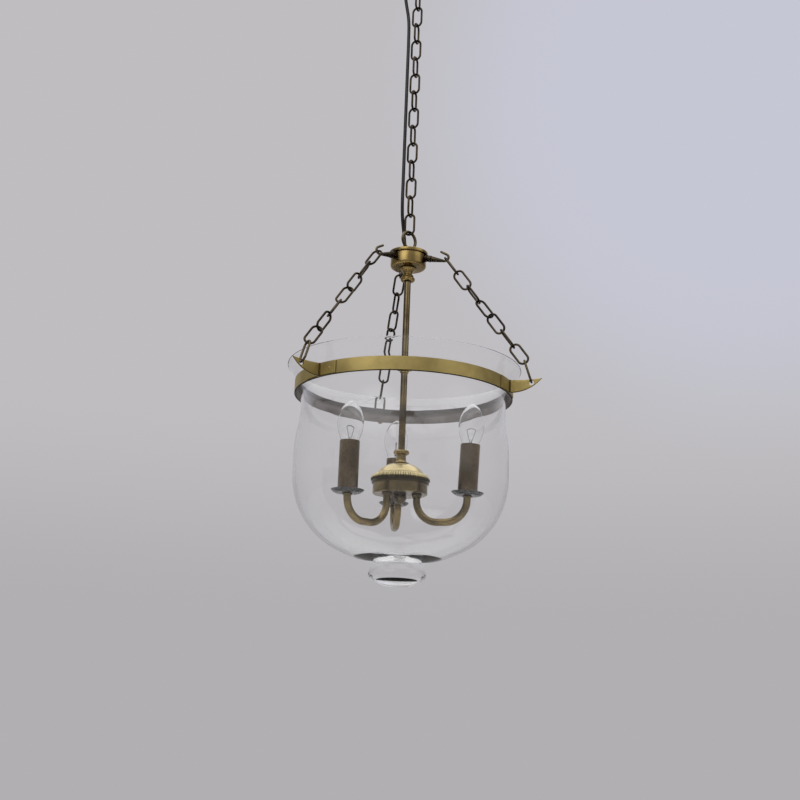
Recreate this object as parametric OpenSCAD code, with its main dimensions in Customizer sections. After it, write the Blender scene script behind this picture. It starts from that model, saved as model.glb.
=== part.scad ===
// Pendant chandelier: three candle lamps on a brass stem, hung inside a clear glass bell jar.
// The jar is carried by a brass band, three ears and three chains from hooks on the hub.
// Origin: centre of the canopy rim, on the ceiling. The lamp hangs down along -Z.

/* [Canopy and mounting bar] */
// Outer radius of the canopy at the ceiling
canopy_r = 57; // [50:1:70]
// Depth of the canopy below the ceiling
canopy_h = 40; // [34:1:50]
// Thickness of the canopy's spun brass
canopy_wall = 1.4; // [1:0.1:2]
// Length of the steel mounting bar
bar_len = 94; // [86:1:98]
// Width of the mounting bar
bar_w = 20; // [18:1:24]
// Thickness of the mounting bar
bar_t = 2.5; // [2:0.1:3]
// Distance between the centres of the bar's two screw slots
slot_spacing = 66; // [56:1:70]
// Width of each screw slot
slot_w = 5; // [4:0.5:6]
// Length of each screw slot
slot_len = 12; // [9:0.5:14]

/* [Suspension] */
// Number of links between the canopy and the lamp
susp_links = 14; // [4:1:24]
// Outer length of a chain link
link_len = 35.3; // [33:0.1:37]
// Outer width of a chain link
link_w = 17.5; // [16:0.5:20]
// Diameter of the chain wire
link_wire = 3.2; // [2.8:0.1:3.4]
// Outer diameter of the two screwed loops
loop_d = 30; // [28:1:34]
// Thickness of the loops' bar
loop_bar = 4.5; // [4:0.1:5]
// Diameter of the black flex
flex_d = 5; // [4:0.1:5.6]
// Radius of the threaded nipples in the canopy and the hub
nipple_r = 5; // [4.6:0.1:5.2]

/* [Hub] */
// Outer radius of the hub cup
hub_r = 25.8; // [24:0.2:28]
// Height of the hub cup
hub_h = 21.6; // [19:0.2:24]
// Outer radius of the hub's lid
lid_r = 28.3; // [28.2:0.1:31]
// Height of the lid's rim
lid_h = 4.4; // [3.6:0.1:5]
// Thickness of the hub's and the cluster's sheet metal
sheet = 1.6; // [1.2:0.1:2]
// Azimuth of the rear hook, the others are 120 degrees apart
hook_turn = 101.2; // [98:0.2:104]
// Distance from the lamp's axis to the middle of a hook's curl
hook_reach = 55.5; // [52:0.5:60]
// Slope of the hook's shank below the horizontal
hook_droop = 14; // [8:1:18]
// Diameter of the hook's wire
hook_wire = 3.6; // [3.2:0.1:3.8]
// Radius of the curl, to the middle of its wire
curl_r = 5.2; // [5:0.1:6]

/* [Stem] */
// Diameter of the stem tube
stem_d = 9.5; // [9:0.1:10]
// Wall of the stem and arm tubes
tube_wall = 1; // [0.8:0.1:1.2]
// Length of stem that shows between the hub's neck and the coupler
upper_stem_len = 106.5; // [60:0.5:160]
// Length of stem that shows between the coupler and the cluster's neck
lower_stem_len = 111.2; // [80:0.2:160]

/* [Candle cluster] */
// Radius of the cluster's cup
cup_r = 37.9; // [36:0.1:40]
// Depth of the cup below its dome
cup_h = 15.5; // [13:0.5:20]
// Radius of the gadrooned edge
edge_r = 40.9; // [40.5:0.1:44]
// Number of gadroons round the edge
gadroons = 36; // [24:2:44]
// Radius of the ball finial
finial_r = 9.2; // [8.4:0.1:10]
// Diameter of the arm tubes
arm_d = 10; // [9.6:0.1:10.6]
// Distance from the stem's axis to an arm's foot
arm_foot_r = 24.5; // [22:0.5:26]
// Distance from the stem's axis to a candle
candle_r = 95.5; // [86:0.5:104]
// Bend radius of the arms
arm_bend = 30; // [22:1:32]
// Azimuth of the rear arm
arm_turn_rear = 95; // [90:1:100]
// Azimuth of the left arm
arm_turn_left = 224; // [218:1:228]
// Azimuth of the right arm
arm_turn_right = 341; // [336:1:346]
// Depth of the rear arm's bend below the cup
arm_dip_rear = 39.2; // [37.5:0.1:48]
// Depth of the left arm's bend below the cup
arm_dip_left = 44.3; // [37.5:0.1:48]
// Depth of the right arm's bend below the cup
arm_dip_right = 38.4; // [37.5:0.1:48]
// Outward lean of the right candle, in degrees
lean_right = 2.5; // [0:0.5:4]

/* [Candles] */
// Height of the rear drip pan's rim above the middle of its arm's lowest run
pan_rise_rear = 42; // [38:0.1:46]
// Height of the left drip pan's rim above the middle of its arm's lowest run
pan_rise_left = 38.6; // [38:0.1:46]
// Height of the right drip pan's rim above the middle of its arm's lowest run
pan_rise_right = 41.8; // [38:0.1:46]
// Radius of a drip pan
pan_r = 21.9; // [20:0.1:26]
// Depth of a drip pan
pan_h = 5; // [4:0.2:6]
// Thickness of a drip pan
pan_t = 1; // [0.8:0.1:1.4]
// Diameter of a candle sleeve
sleeve_d = 26.6; // [26:0.1:28]
// Length of a candle sleeve
sleeve_len = 69; // [62:0.5:80]
// Wall of a candle sleeve
sleeve_wall = 1.2; // [0.8:0.1:1.3]
// Diameter of a bulb
bulb_d = 35.5; // [35:0.1:36.5]
// Length of a bulb's glass
bulb_len = 71.5; // [68:0.5:76]
// How far the rear bulb's tip stands above its sleeve
bulb_show_rear = 59; // [54:0.5:60]
// How far the left bulb's tip stands above its sleeve
bulb_show_left = 55; // [54:0.5:60]
// How far the right bulb's tip stands above its sleeve
bulb_show_right = 57; // [54:0.5:60]
// Thickness of a bulb's glass
bulb_wall = 0.8; // [0.6:0.1:1]

/* [Glass jar] */
// Outer radius of the jar's flared rim
rim_r = 164.6; // [160:0.2:168]
// Outer radius of the jar's neck
neck_r = 143; // [141:0.2:145]
// Outer radius of the jar's belly
belly_r = 148.9; // [147:0.1:152]
// Height of the jar without its knob
jar_h = 274; // [268:1:290]
// Thickness of the jar's wall
jar_wall = 4; // [3:0.1:5]
// Radius of the thick glass over the knob
base_r = 58; // [50:0.5:64]
// Thickness of the glass in the middle of the jar's bottom
base_t = 11; // [9:0.1:12]
// Radius of the knob under the jar
knob_r = 39.1; // [36:0.1:42]
// Radius of the knob where it leaves the jar
knob_neck_r = 31; // [28:0.1:33]
// Height of the knob
knob_h = 29; // [26:0.5:34]

/* [Band and ears] */
// Height of the brass band
band_h = 19; // [17:0.5:22]
// Thickness of the band
band_t = 1.8; // [1.4:0.1:2.4]
// Distance from the jar's rim down to the band
band_drop = 23; // [20:0.5:28]
// Thickness of an ear's sheet, doubled in its horn
ear_t = 1.2; // [1:0.1:1.5]
// Distance from the jar's rim out to an ear's hole
ear_hole_out = 20.4; // [19:0.1:22.4]
// Distance from an ear's hole to its tip
ear_tip_len = 14; // [12:0.5:16]
// Depth of an ear's hole below the band's top edge
ear_hole_drop = 6.4; // [6:0.1:7]
// Diameter of an ear's hole
ear_hole_d = 7.2; // [7:0.1:7.4]
// Azimuth of the rear ear
ear_turn_rear = 102; // [98:0.5:105]
// Azimuth of the left ear
ear_turn_left = 223.5; // [218:0.5:225]
// Azimuth of the right ear
ear_turn_right = 338.5; // [338:0.5:344]

/* [Hidden] */

// Fits: metal in metal, a threaded seat, and a soft or glass piece on its seat
fit = 0.05;
seat = 0.3;
// Smallest overlap that makes a cut run clear of a face
eps = 0.5;

brass = [0.62, 0.52, 0.30];
antique = [0.44, 0.37, 0.24];
bronze = [0.16, 0.14, 0.11];
olive = [0.55, 0.48, 0.28];

// Chain: distance between neighbouring links, and from the first link's top to the last one's foot
link_gap = 0.15;
link_mid = link_len - link_wire;
pitch = link_mid - link_wire - link_gap;
side_links = 8;
// How the lowest suspension link and the side chains' links, from the first, hang turned
susp_turn = -24;
turns_rear = [0, 77, 154, 231, 309, 386, 463, 540];
turns_left = [-20, 35, 90, 145, 200, 255, 311, 372];
turns_right = [0, 90, 163, 220, 277, 350, 440, 530];

// Heights, from the ceiling down
loop_post = 5.4;
loop_turn = 44;
canopy_loop_z = -canopy_h - loop_post;
canopy_ring_z = canopy_loop_z - loop_d + loop_bar / 2;
hang_ring_z = canopy_ring_z - susp_links * pitch + loop_bar + link_gap;
lid_z = hang_ring_z + loop_bar / 2 - loop_d - loop_post;
hub_top_z = lid_z - sheet;
hub_z = hub_top_z - hub_h;
neck_h = 20.5;
neck_z = hub_z - neck_h;
coupler_h = 31.3;
coupler_z = neck_z - upper_stem_len - coupler_h;
collar_h = 18;
collar_z = coupler_z - lower_stem_len - collar_h;
dome_h = 30;
dome_z = collar_z - dome_h;
cup_z = dome_z - cup_h + 1;

// Azimuths of the three hooks
hook_turns = [for (i = [0 : 2]) hook_turn + i * 360 / 3];

// Hook: height of its curl's middle, and its shank's length from the curl's start to the hub
curl_z = hub_z + 11.5;
curl_start = 270 - hook_droop;
curl_end = 62 + 360;
tip_len = 9.6;
shank_r0 = hook_reach + curl_r * cos(curl_start);
shank_z0 = curl_z + curl_r * sin(curl_start);
shank_len = (shank_r0 - hub_r) / cos(hook_droop);

// Jar's height, which follows from the chains: each runs straight to its last link and then turns down
hook_gap = 0.4;
hook_seat = curl_r - hook_wire / 2 - link_wire / 2 - hook_gap;
ear_hole_r = rim_r + ear_hole_out;
ear_tip_r = ear_hole_r + ear_tip_len;
ear_hole_seat = 0.9;
upper_reach = hook_seat + (side_links - 1) * pitch;
lower_reach = link_mid + ear_hole_d / 2 - link_wire / 2 - ear_hole_seat;
rim_lean = link_w / 2 + 0.1;
chain_reach = sqrt(pow(upper_reach, 2) - pow(rim_lean, 2)) + sqrt(pow(lower_reach, 2) - pow(rim_lean, 2));
ear_hole_z = curl_z - sqrt(pow(chain_reach, 2) - pow(ear_hole_r - hook_reach, 2));
band_z = ear_hole_z + ear_hole_drop;
rim_z = band_z + band_drop;

// Jar's outline: the flare's arc, and the shoulder and bottom arcs
flare_h = 62;
flare_w = rim_r - neck_r;
flare_arc = (pow(flare_w, 2) + pow(flare_h, 2)) / (2 * flare_w);
belly_top = 125;
corner_r = 110;
bottom_r = 196.5;
corner_drop = bottom_r - sqrt(pow(bottom_r - corner_r, 2) - pow(belly_r - corner_r, 2));
corner_z = -(jar_h - corner_drop);
corner_end = -atan2(sqrt(pow(bottom_r - corner_r, 2) - pow(belly_r - corner_r, 2)), belly_r - corner_r);
knob_below = 16.5;
function flare_at(drop) = neck_r + flare_arc - sqrt(pow(flare_arc, 2) - pow(flare_h - drop, 2));
band_in = flare_at(band_drop) + seat;
band_out = band_in + band_t;
ear_out = band_out + ear_t + fit;
ear_tab = 13;
rivet_turn = 8;

// Each arm: azimuth, dip, the candle's lean, the pan's rise and how much of the bulb shows
arms = [
    [arm_turn_rear, arm_dip_rear, 0, pan_rise_rear, bulb_show_rear],
    [arm_turn_left, arm_dip_left, 0, pan_rise_left, bulb_show_left],
    [arm_turn_right, arm_dip_right, lean_right, pan_rise_right, bulb_show_right]
];
// Candle: its parts' heights above the drip pan's floor
sleeve_z = pan_t;
sleeve_top = sleeve_z + sleeve_len;
function bulb_z(a) = sleeve_top + a[4] - bulb_len;
function pan_floor(a) = a[3] - arm_bend - pan_h;
cap_r = 7;
cap_len = 24;
bulb_wide = bulb_len * 0.457;
bulb_neck_r = 8.4;
function socket_top(a) = bulb_z(a) - 1.5;
socket_r = sleeve_d / 2 - sleeve_wall - 0.35;

// Flex: its middle line, from the canopy's grip down beside the chain and round the loop into the lid
grip_x = -22;
grip_len = 8;
bush_x = -6;
bush_y = 13;
bush_h = 3;
flex_r = flex_d / 2;
flex_rings = 26;
flex_sides = 8;
// Each point is [x, y, share of the way down]
flex_route = [
    [-22, 0, 0], [-22, 0, 0.03], [-18, 0, 0.09], [-13, 0, 0.16], [-12, 0, 0.24], [-12, 0, 0.32],
    [-12, 0, 0.4], [-12, 0, 0.5], [-12, 0, 0.6], [-12, 0, 0.68], [-12, 0, 0.76], [-12, 1, 0.83],
    [-11, 5, 0.88], [-8, 11, 0.93], [-6, 13, 0.97], [-6, 13, 1]
];
flex_top = -canopy_h - grip_len;
flex_end = lid_z + bush_h;

// Points of a circular arc in a profile, from angle a0 to a1
function arc(c, r, a0, a1, n) = [
    for (i = [0 : n]) let (a = a0 + (a1 - a0) * i / n) [c[0] + r * cos(a), c[1] + r * sin(a)]
];
function raised(points, dz) = [for (p = points) [p[0], p[1] + dz]];
function reversed(points) = [for (i = [len(points) - 1 : -1 : 0]) points[i]];
function unit(v) = v / norm(v);

module turned(outline) {
    rotate_extrude($fn = 96) polygon(outline);
}

module ring(r_out, r_in, z, h) {
    translate([0, 0, z]) difference() {
        cylinder(r = r_out, h = h, $fn = 96);
        translate([0, 0, -eps]) cylinder(r = r_in, h = h + 2 * eps, $fn = 96);
    }
}

module bend(r, bar, a0, a1) {
    rotate([90, 0, 0]) rotate([0, 0, a0])
        rotate_extrude(angle = a1 - a0, $fn = 72) translate([r, 0]) circle(d = bar, $fn = 32);
}

// Canopy: a spun brass bell, open against the ceiling
canopy_lip = 6;
canopy_foot = 15;
function canopy_curve(inset) = [
    for (i = [0 : 12]) let (t = i / 12, r = canopy_r - canopy_foot)
        [canopy_foot + r * cos(90 * t) - inset * cos(90 * t),
         -canopy_lip - (canopy_h - canopy_lip) * pow(sin(90 * t), 1.4) + inset * sin(90 * t)]
];

module canopy() {
    color(brass) difference() {
        turned(concat([[0, 0], [canopy_r, 0]], canopy_curve(0), [[0, -canopy_h]]));
        turned(concat([[0, eps], [canopy_r - canopy_wall, eps]], canopy_curve(canopy_wall),
            [[0, -canopy_h + canopy_wall]]));
        translate([0, 0, -canopy_h - eps]) cylinder(r = nipple_r + fit, h = canopy_h, $fn = 64);
        translate([grip_x, 0, -canopy_h - eps]) cylinder(r = grip_neck_r + fit, h = canopy_h, $fn = 48);
    }
}

// Mounting bar: a steel strap with a slot at each end and the nipple's hole in the middle
module slot() {
    run = slot_len - slot_w;
    translate([-run / 2, 0, 0]) cylinder(d = slot_w, h = 4 * bar_t, center = true, $fn = 32);
    translate([run / 2, 0, 0]) cylinder(d = slot_w, h = 4 * bar_t, center = true, $fn = 32);
    cube([run, slot_w, 4 * bar_t], center = true);
}

module mounting_bar() {
    color([0.6, 0.6, 0.58]) difference() {
        translate([-bar_len / 2, -bar_w / 2, -bar_t]) cube([bar_len, bar_w, bar_t]);
        for (side = [-1, 1]) translate([side * slot_spacing / 2, 0, -bar_t / 2]) slot();
        translate([0, 0, -2 * bar_t]) cylinder(r = nipple_r + fit, h = 3 * bar_t, $fn = 64);
    }
}

// Nipple with its two nuts: it joins the bar, the canopy and the loop under it
nut_h = 4;
nut_r = nipple_r + 3.6;

module nut(r_hole, r_out, h) {
    difference() {
        cylinder(r = r_out, h = h, $fn = 6);
        translate([0, 0, -eps]) cylinder(r = r_hole + fit, h = h + 2 * eps, $fn = 64);
    }
}

module canopy_nipple() {
    color(brass) {
        ring(nipple_r, nipple_r - 1.5, -canopy_h - loop_post + 1.1, canopy_h + loop_post - 1.1);
        translate([0, 0, -bar_t - nut_h]) nut(nipple_r, nut_r, nut_h);
        translate([0, 0, -canopy_h + canopy_wall]) nut(nipple_r, nut_r, nut_h);
    }
}

// Screwed loop: a collar on the nipple, with a round ring; up is 1 where the ring is above the collar
loop_collar_r = nipple_r + 2.4;

module screwed_loop(up, azimuth) {
    ring_r = (loop_d - loop_bar) / 2;
    mirror([0, 0, up > 0 ? 0 : 1]) difference() {
        union() {
            cylinder(r = loop_collar_r, h = loop_post, $fn = 64);
            translate([0, 0, loop_post]) cylinder(r = 4, h = loop_bar / 2, $fn = 48);
            rotate([0, 0, azimuth]) translate([0, 0, loop_post + loop_d / 2]) rotate([90, 0, 0])
                rotate_extrude($fn = 72) translate([ring_r, 0]) circle(d = loop_bar, $fn = 32);
        }
        translate([0, 0, -eps]) cylinder(r = nipple_r + fit, h = loop_post - 1 + eps, $fn = 64);
    }
}

module canopy_loop() {
    color(brass) translate([0, 0, -canopy_h]) screwed_loop(-1, susp_turn + 90 * susp_links);
}

module hanging_loop() {
    color(brass) translate([0, 0, lid_z]) screwed_loop(1, loop_turn);
}

// Cord grip: a black gland through the canopy, and the flex's tail from it up to the terminal block
grip_r = 6.5;
grip_neck_r = 5;
grip_top = -canopy_h + 7;

module cord_grip() {
    color([0.08, 0.08, 0.08]) translate([grip_x, 0, 0]) {
        difference() {
            translate([0, 0, flex_top]) cylinder(r1 = grip_r - 1.5, r2 = grip_r, h = grip_top - flex_top, $fn = 48);
            translate([-grip_x, 0, 0])
                turned(concat([[0, eps], [canopy_r + 1, eps]], canopy_curve(-fit), [[0, -canopy_h - fit]]));
        }
        translate([0, 0, flex_top + 1]) cylinder(r = grip_neck_r, h = grip_top - flex_top - 1, $fn = 48);
        translate([0, 0, grip_top]) cylinder(r = flex_r, h = block_z - grip_top, $fn = 32);
    }
}

// Terminal block: hangs from the bar inside the canopy, with two screw wells beside the flex
block_h = 13;
block_z = -bar_t - block_h;

module terminal_block() {
    color([0.85, 0.85, 0.8]) difference() {
        translate([grip_x - 14, -8, block_z]) cube([18, 16, block_h]);
        for (row = [-1, 1]) translate([grip_x - 9, row * 4, block_z - eps]) cylinder(r = 1.8, h = 8, $fn = 24);
    }
}

// Chain link: its top centre line at the origin, its length down -Z, its width along X
module chain_link() {
    r = (link_w - link_wire) / 2;
    run = link_len - link_w;
    translate([0, 0, -r]) bend(r, link_wire, 0, 180);
    translate([0, 0, -r - run]) bend(r, link_wire, 180, 360);
    for (side = [-1, 1]) translate([side * r, 0, -r - run]) cylinder(d = link_wire, h = run, $fn = 32);
}

module suspension_chain() {
    color(bronze) translate([0, 0, canopy_ring_z + loop_bar / 2 + link_wire / 2 + link_gap])
        for (i = [0 : susp_links - 1])
            translate([0, 0, -i * pitch]) rotate([0, 0, susp_turn + 90 * (susp_links - 1 - i)]) chain_link();
}

// Side chain: the middle of its hook's curl, its ear's hole, and its last joint, which the rim holds off
function hook_point(azimuth) = [hook_reach * cos(azimuth), hook_reach * sin(azimuth), curl_z];
function ear_point(azimuth) = [ear_hole_r * cos(azimuth), ear_hole_r * sin(azimuth), ear_hole_z];
function joint_point(c, e) =
    let (u = unit(e - c), level = unit([-u[1], u[0], 0]))
    c + u * sqrt(pow(upper_reach, 2) - pow(rim_lean, 2)) + cross(u, level) * rim_lean;

// Frame of a run of links: its origin at o, -Z along u, X level
module along(o, u) {
    x = unit([-u[1], u[0], 0]);
    y = cross(-u, x);
    multmatrix([
        [x[0], y[0], -u[0], o[0]],
        [x[1], y[1], -u[1], o[1]],
        [x[2], y[2], -u[2], o[2]],
        [0, 0, 0, 1]
    ]) children();
}

module side_chain(hook_azimuth, ear_azimuth, turns) {
    c = hook_point(hook_azimuth);
    u = unit(joint_point(c, ear_point(ear_azimuth)) - c);
    color(bronze) along(c + u * hook_seat, u)
        for (i = [0 : side_links - 2]) translate([0, 0, -i * pitch]) rotate([0, 0, -turns[i]]) chain_link();
}

// End link: brass, with a slit in one side where it is opened to take the ear
link_slit = 0.8;

module end_link(hook_azimuth, ear_azimuth, turns) {
    e = ear_point(ear_azimuth);
    joint = joint_point(hook_point(hook_azimuth), e);
    color(brass) along(joint, unit(e - joint)) rotate([0, 0, -turns[side_links - 1]]) difference() {
        chain_link();
        translate([link_w / 2 - link_wire / 2, 0, -link_len * 0.3])
            cube([2 * link_wire, 2 * link_wire, link_slit], center = true);
    }
}

module chain_rear() { side_chain(hook_turns[0], ear_turn_rear, turns_rear); }
module chain_left() { side_chain(hook_turns[1], ear_turn_left, turns_left); }
module chain_right() { side_chain(hook_turns[2], ear_turn_right, turns_right); }
module end_link_rear() { end_link(hook_turns[0], ear_turn_rear, turns_rear); }
module end_link_left() { end_link(hook_turns[1], ear_turn_left, turns_left); }
module end_link_right() { end_link(hook_turns[2], ear_turn_right, turns_right); }

// Flex: one tube swept along part of the route, with flat level ends
function flex_point(s) =
    let (n = len(flex_route) - 1, i = max([for (k = [0 : n - 1]) flex_route[k][2] <= s ? k : 0]),
        a = flex_route[max(i - 1, 0)], b = flex_route[i], c = flex_route[i + 1],
        d = flex_route[min(i + 2, n)], t = (s - b[2]) / (c[2] - b[2]),
        m0 = (c - a) / max(c[2] - a[2], eps / 1000), m1 = (d - b) / max(d[2] - b[2], eps / 1000),
        w = c[2] - b[2],
        p = b * (2 * pow(t, 3) - 3 * t * t + 1) + m0 * w * (pow(t, 3) - 2 * t * t + t)
            + c * (3 * t * t - 2 * pow(t, 3)) + m1 * w * (pow(t, 3) - t * t))
    [p[0], p[1], flex_top + (flex_end - flex_top) * s];

module flex(s0, s1) {
    n = flex_rings;
    centres = [for (i = [0 : n]) flex_point(s0 + (s1 - s0) * i / n)];
    points = [
        for (p = centres, k = [0 : flex_sides - 1])
            [p[0] + flex_r * cos(360 * k / flex_sides), p[1] + flex_r * sin(360 * k / flex_sides), p[2]]
    ];
    walls = [
        for (i = [0 : n - 1], k = [0 : flex_sides - 1])
            let (a = i * flex_sides + k, b = i * flex_sides + (k + 1) % flex_sides)
            each [[a, b, b + flex_sides], [a, b + flex_sides, a + flex_sides]]
    ];
    top = [for (k = [flex_sides - 1 : -1 : 0]) k];
    foot = [for (k = [0 : flex_sides - 1]) n * flex_sides + k];
    color([0.05, 0.05, 0.05]) polyhedron(concat(points), concat(walls, [top, foot]));
}

module flex_upper() { flex(0, 0.5); }
module flex_lower() { flex(0.5, 1); }

// Hub: a cup, a lid whose rim laps over it, and a nipple that clamps them
module hub_lid() {
    color(brass) difference() {
        turned(concat(
            [[0, lid_z]], arc([lid_r - 1.2, lid_z - 1.2], 1.2, 90, 0, 4),
            [[lid_r, lid_z - lid_h], [hub_r + fit, lid_z - lid_h], [hub_r + fit, lid_z - sheet], [0, lid_z - sheet]]
        ));
        translate([0, 0, lid_z - lid_h]) cylinder(r = nipple_r + fit, h = 2 * lid_h, $fn = 64);
        translate([bush_x, bush_y, lid_z - lid_h]) cylinder(r = bush_r + fit, h = 2 * lid_h, $fn = 48);
    }
}

bush_r = 3.9;

module lid_bush() {
    color([0.08, 0.08, 0.08]) translate([bush_x, bush_y, 0]) difference() {
        union() {
            translate([0, 0, lid_z]) cylinder(r1 = bush_r + 1.4, r2 = bush_r, h = bush_h, $fn = 48);
            translate([0, 0, lid_z - sheet - 3]) cylinder(r = bush_r, h = sheet + 3, $fn = 48);
        }
        translate([0, 0, lid_z - lid_h - 1]) cylinder(r = flex_r - 0.3, h = 2 * lid_h + 2, $fn = 32);
    }
}

hub_round = 4;

// Hole for a hook's tail, along its shank
tail_r = 2.6;

module on_shank(azimuth) {
    rotate([0, 0, azimuth]) translate([shank_r0, 0, shank_z0]) rotate([0, -90 + hook_droop, 0]) children();
}

module hub_cup() {
    color(brass) difference() {
        turned(concat(
            [[0, hub_z]], arc([hub_r - hub_round, hub_z + hub_round], hub_round, 270, 360, 5),
            [[hub_r, hub_top_z], [hub_r - sheet, hub_top_z]],
            arc([hub_r - hub_round, hub_z + hub_round], hub_round - sheet, 360, 270, 5), [[0, hub_z + sheet]]
        ));
        translate([0, 0, hub_z - eps]) cylinder(r = nipple_r + fit, h = 2 * sheet, $fn = 64);
        for (azimuth = hook_turns) on_shank(azimuth) cylinder(r = tail_r + fit, h = shank_len + 6, $fn = 32);
    }
}

module hub_nipple() {
    foot = hub_z - 7;
    color(brass) {
        difference() {
            ring(nipple_r, nipple_r - 1.5, foot, lid_z + loop_post - 1.1 - foot);
            translate([0, 0, hub_z + sheet + nut_h + 6]) rotate([0, 90, 120]) cylinder(r = 2.2, h = 10, $fn = 24);
        }
        translate([0, 0, hub_z + sheet]) nut(nipple_r, nut_r, nut_h);
    }
}

// Hook: a turned, ribbed shank that tapers into a wire curl; its tail is screwed through the cup's wall
rib_pitch = 2.4;
rib_r = 4.9;

module hook(azimuth) {
    wire_r = hook_wire / 2;
    ribs = [
        for (i = [0 : 2]) each [
            [rib_r - 0.9, shank_len - 2.4 - i * rib_pitch], [rib_r, shank_len - 3 - i * rib_pitch],
            [rib_r, shank_len - 4.2 - i * rib_pitch], [rib_r - 0.9, shank_len - 4.8 - i * rib_pitch]
        ]
    ];
    color(antique) {
        difference() {
            on_shank(azimuth) turned(concat(
                [[0, shank_len + 3], [rib_r + 0.7, shank_len + 3], [rib_r + 0.7, shank_len - 2.4]],
                ribs, [[rib_r - 0.6, shank_len - 10.6], [wire_r + 0.2, 0], [wire_r + 0.2, -0.8], [0, -0.8]]
            ));
            translate([0, 0, curl_z - 30]) cylinder(r = hub_r + fit, h = 60, $fn = 96);
        }
        on_shank(azimuth) translate([0, 0, shank_len - 2]) cylinder(r = tail_r, h = 7, $fn = 32);
        rotate([0, 0, azimuth]) translate([hook_reach, 0, curl_z]) {
            bend(curl_r, hook_wire, curl_start, curl_end);
            rotate([0, -curl_end, 0]) translate([curl_r, 0, 0]) {
                sphere(r = wire_r + 0.05, $fn = 48);
                turned(concat([[0, 0], [wire_r, 0]], arc([0, tip_len], wire_r, 0, 90, 6)));
            }
        }
    }
}

module hook_rear() { hook(hook_turns[0]); }
module hook_left() { hook(hook_turns[1]); }
module hook_right() { hook(hook_turns[2]); }

// Turned neck under the hub: a flanged cup, a waist and two beads
stem_r = stem_d / 2;
stem_seat = 6;

module hub_neck() {
    outline = concat(
        [[0, hub_z], [12, hub_z], [12, hub_z - 1.6], [10.9, hub_z - 1.6]],
        arc([14.2, hub_z - 9.8], 8, 128, 180, 5),
        [[6.4, hub_z - 11]],
        arc([6.4, hub_z - 13], 2, 80, -80, 6),
        arc([7.4, hub_z - 17.4], 3.1, 80, -80, 8), [[6.2, neck_z], [0, neck_z]]
    );
    color(brass) difference() {
        turned(outline);
        translate([0, 0, hub_z - 7.2]) cylinder(r = nipple_r + fit, h = 10, $fn = 64);
        translate([0, 0, neck_z - eps]) cylinder(r = stem_r + fit, h = neck_h - 8.5 + eps, $fn = 64);
        translate([0, 0, neck_z]) cylinder(r = stem_r - tube_wall, h = neck_h, $fn = 48);
    }
}

module tube(r, z0, z1) {
    ring(r, r - tube_wall, z0, z1 - z0);
}

module upper_stem() {
    color(brass) tube(stem_r, coupler_z + coupler_h / 2 + 1, neck_z + stem_seat);
}

// Coupler: an urn-shaped turning halfway down the stem
module stem_coupler() {
    z = coupler_z;
    outline = concat(
        [[0, z], [6.7, z], [12.2, z + 3.3], [12.2, z + 8.5], [11, z + 8.5], [11, z + 9.6]],
        arc([3, z + 17], 9.6, -42, 42, 8), [[8, z + 24.6], [8, z + 25.8], [9, z + 25.8], [9, z + 27.4]],
        arc([11, z + 31.3], 4.4, 242, 180, 4), [[0, z + coupler_h]]
    );
    color(antique) difference() {
        turned(outline);
        translate([0, 0, z - eps]) cylinder(r = stem_r + fit, h = coupler_h / 2 - 1 + eps, $fn = 64);
        translate([0, 0, z + coupler_h / 2 + 1]) cylinder(r = stem_r + fit, h = coupler_h, $fn = 64);
        translate([0, 0, z]) cylinder(r = stem_r - tube_wall, h = coupler_h, $fn = 48);
    }
}

module lower_stem() {
    color(antique) tube(stem_r, collar_z + collar_h - stem_seat, coupler_z + coupler_h / 2 - 1);
}

// Neck of the cluster: a bead, a waist and a bell-shaped foot on the dome
rod_r = 4;

module cluster_neck() {
    z = collar_z;
    outline = concat(
        [[0, z + collar_h], [7, z + collar_h]],
        arc([7.9, z + 14.6], 3.2, 80, -80, 8),
        [[7, z + 10.6], [6.65, z + 9.4], [6.9, z + 7.4]],
        arc([14.6, z + 7.2], 7.6, 182, 236, 6), [[11.5, z + 0.8], [11.5, z], [0, z]]
    );
    color(antique) difference() {
        turned(outline);
        translate([0, 0, z + collar_h - stem_seat]) cylinder(r = stem_r + fit, h = 10, $fn = 64);
        translate([0, 0, z - eps]) cylinder(r = rod_r + fit, h = 8.5, $fn = 48);
        translate([0, 0, z]) cylinder(r = stem_r - tube_wall - 0.8, h = collar_h, $fn = 48);
    }
}

// Dome with a gadrooned edge: shallow flutes cut round a sloping roll
dome_c = [9.2, collar_z - 27.6];
flute_r = 1.5;

module cluster_dome() {
    z = dome_z;
    roll = [
        [34.4, collar_z - 14.2], [35.2, collar_z - 14.4], [38, collar_z - 16.2], [40, collar_z - 18.8],
        [edge_r, collar_z - 22], [edge_r, collar_z - 24.4], [edge_r - 1, collar_z - 26.6],
        [cup_r + 1.4, collar_z - 27], [cup_r + 1.4, z]
    ];
    shell = [
        [cup_r + fit, z], [cup_r + fit, z + 2.6], [36, z + 4], [35.5, collar_z - 18],
        [32.6, collar_z - 14.8]
    ];
    color(antique) difference() {
        turned(concat(
            [[0, collar_z]], arc(dome_c, 27.6, 85, 31, 12), roll, shell,
            arc(dome_c, 27.6 - sheet, 34, 85, 10), [[0, collar_z - sheet]]
        ));
        translate([0, 0, collar_z - 10]) cylinder(r = rod_r + fit, h = 20, $fn = 48);
        for (i = [0 : gadroons - 1]) rotate([0, 0, 360 * i / gadroons])
            translate([edge_r + 1.0, 0, collar_z - 27.2]) rotate([0, -30, 0])
                cylinder(r = flute_r, h = 12, $fn = 24);
    }
}

// Cup of the cluster, with the holes for the arms and the tie rod
cup_round = 2;

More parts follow.
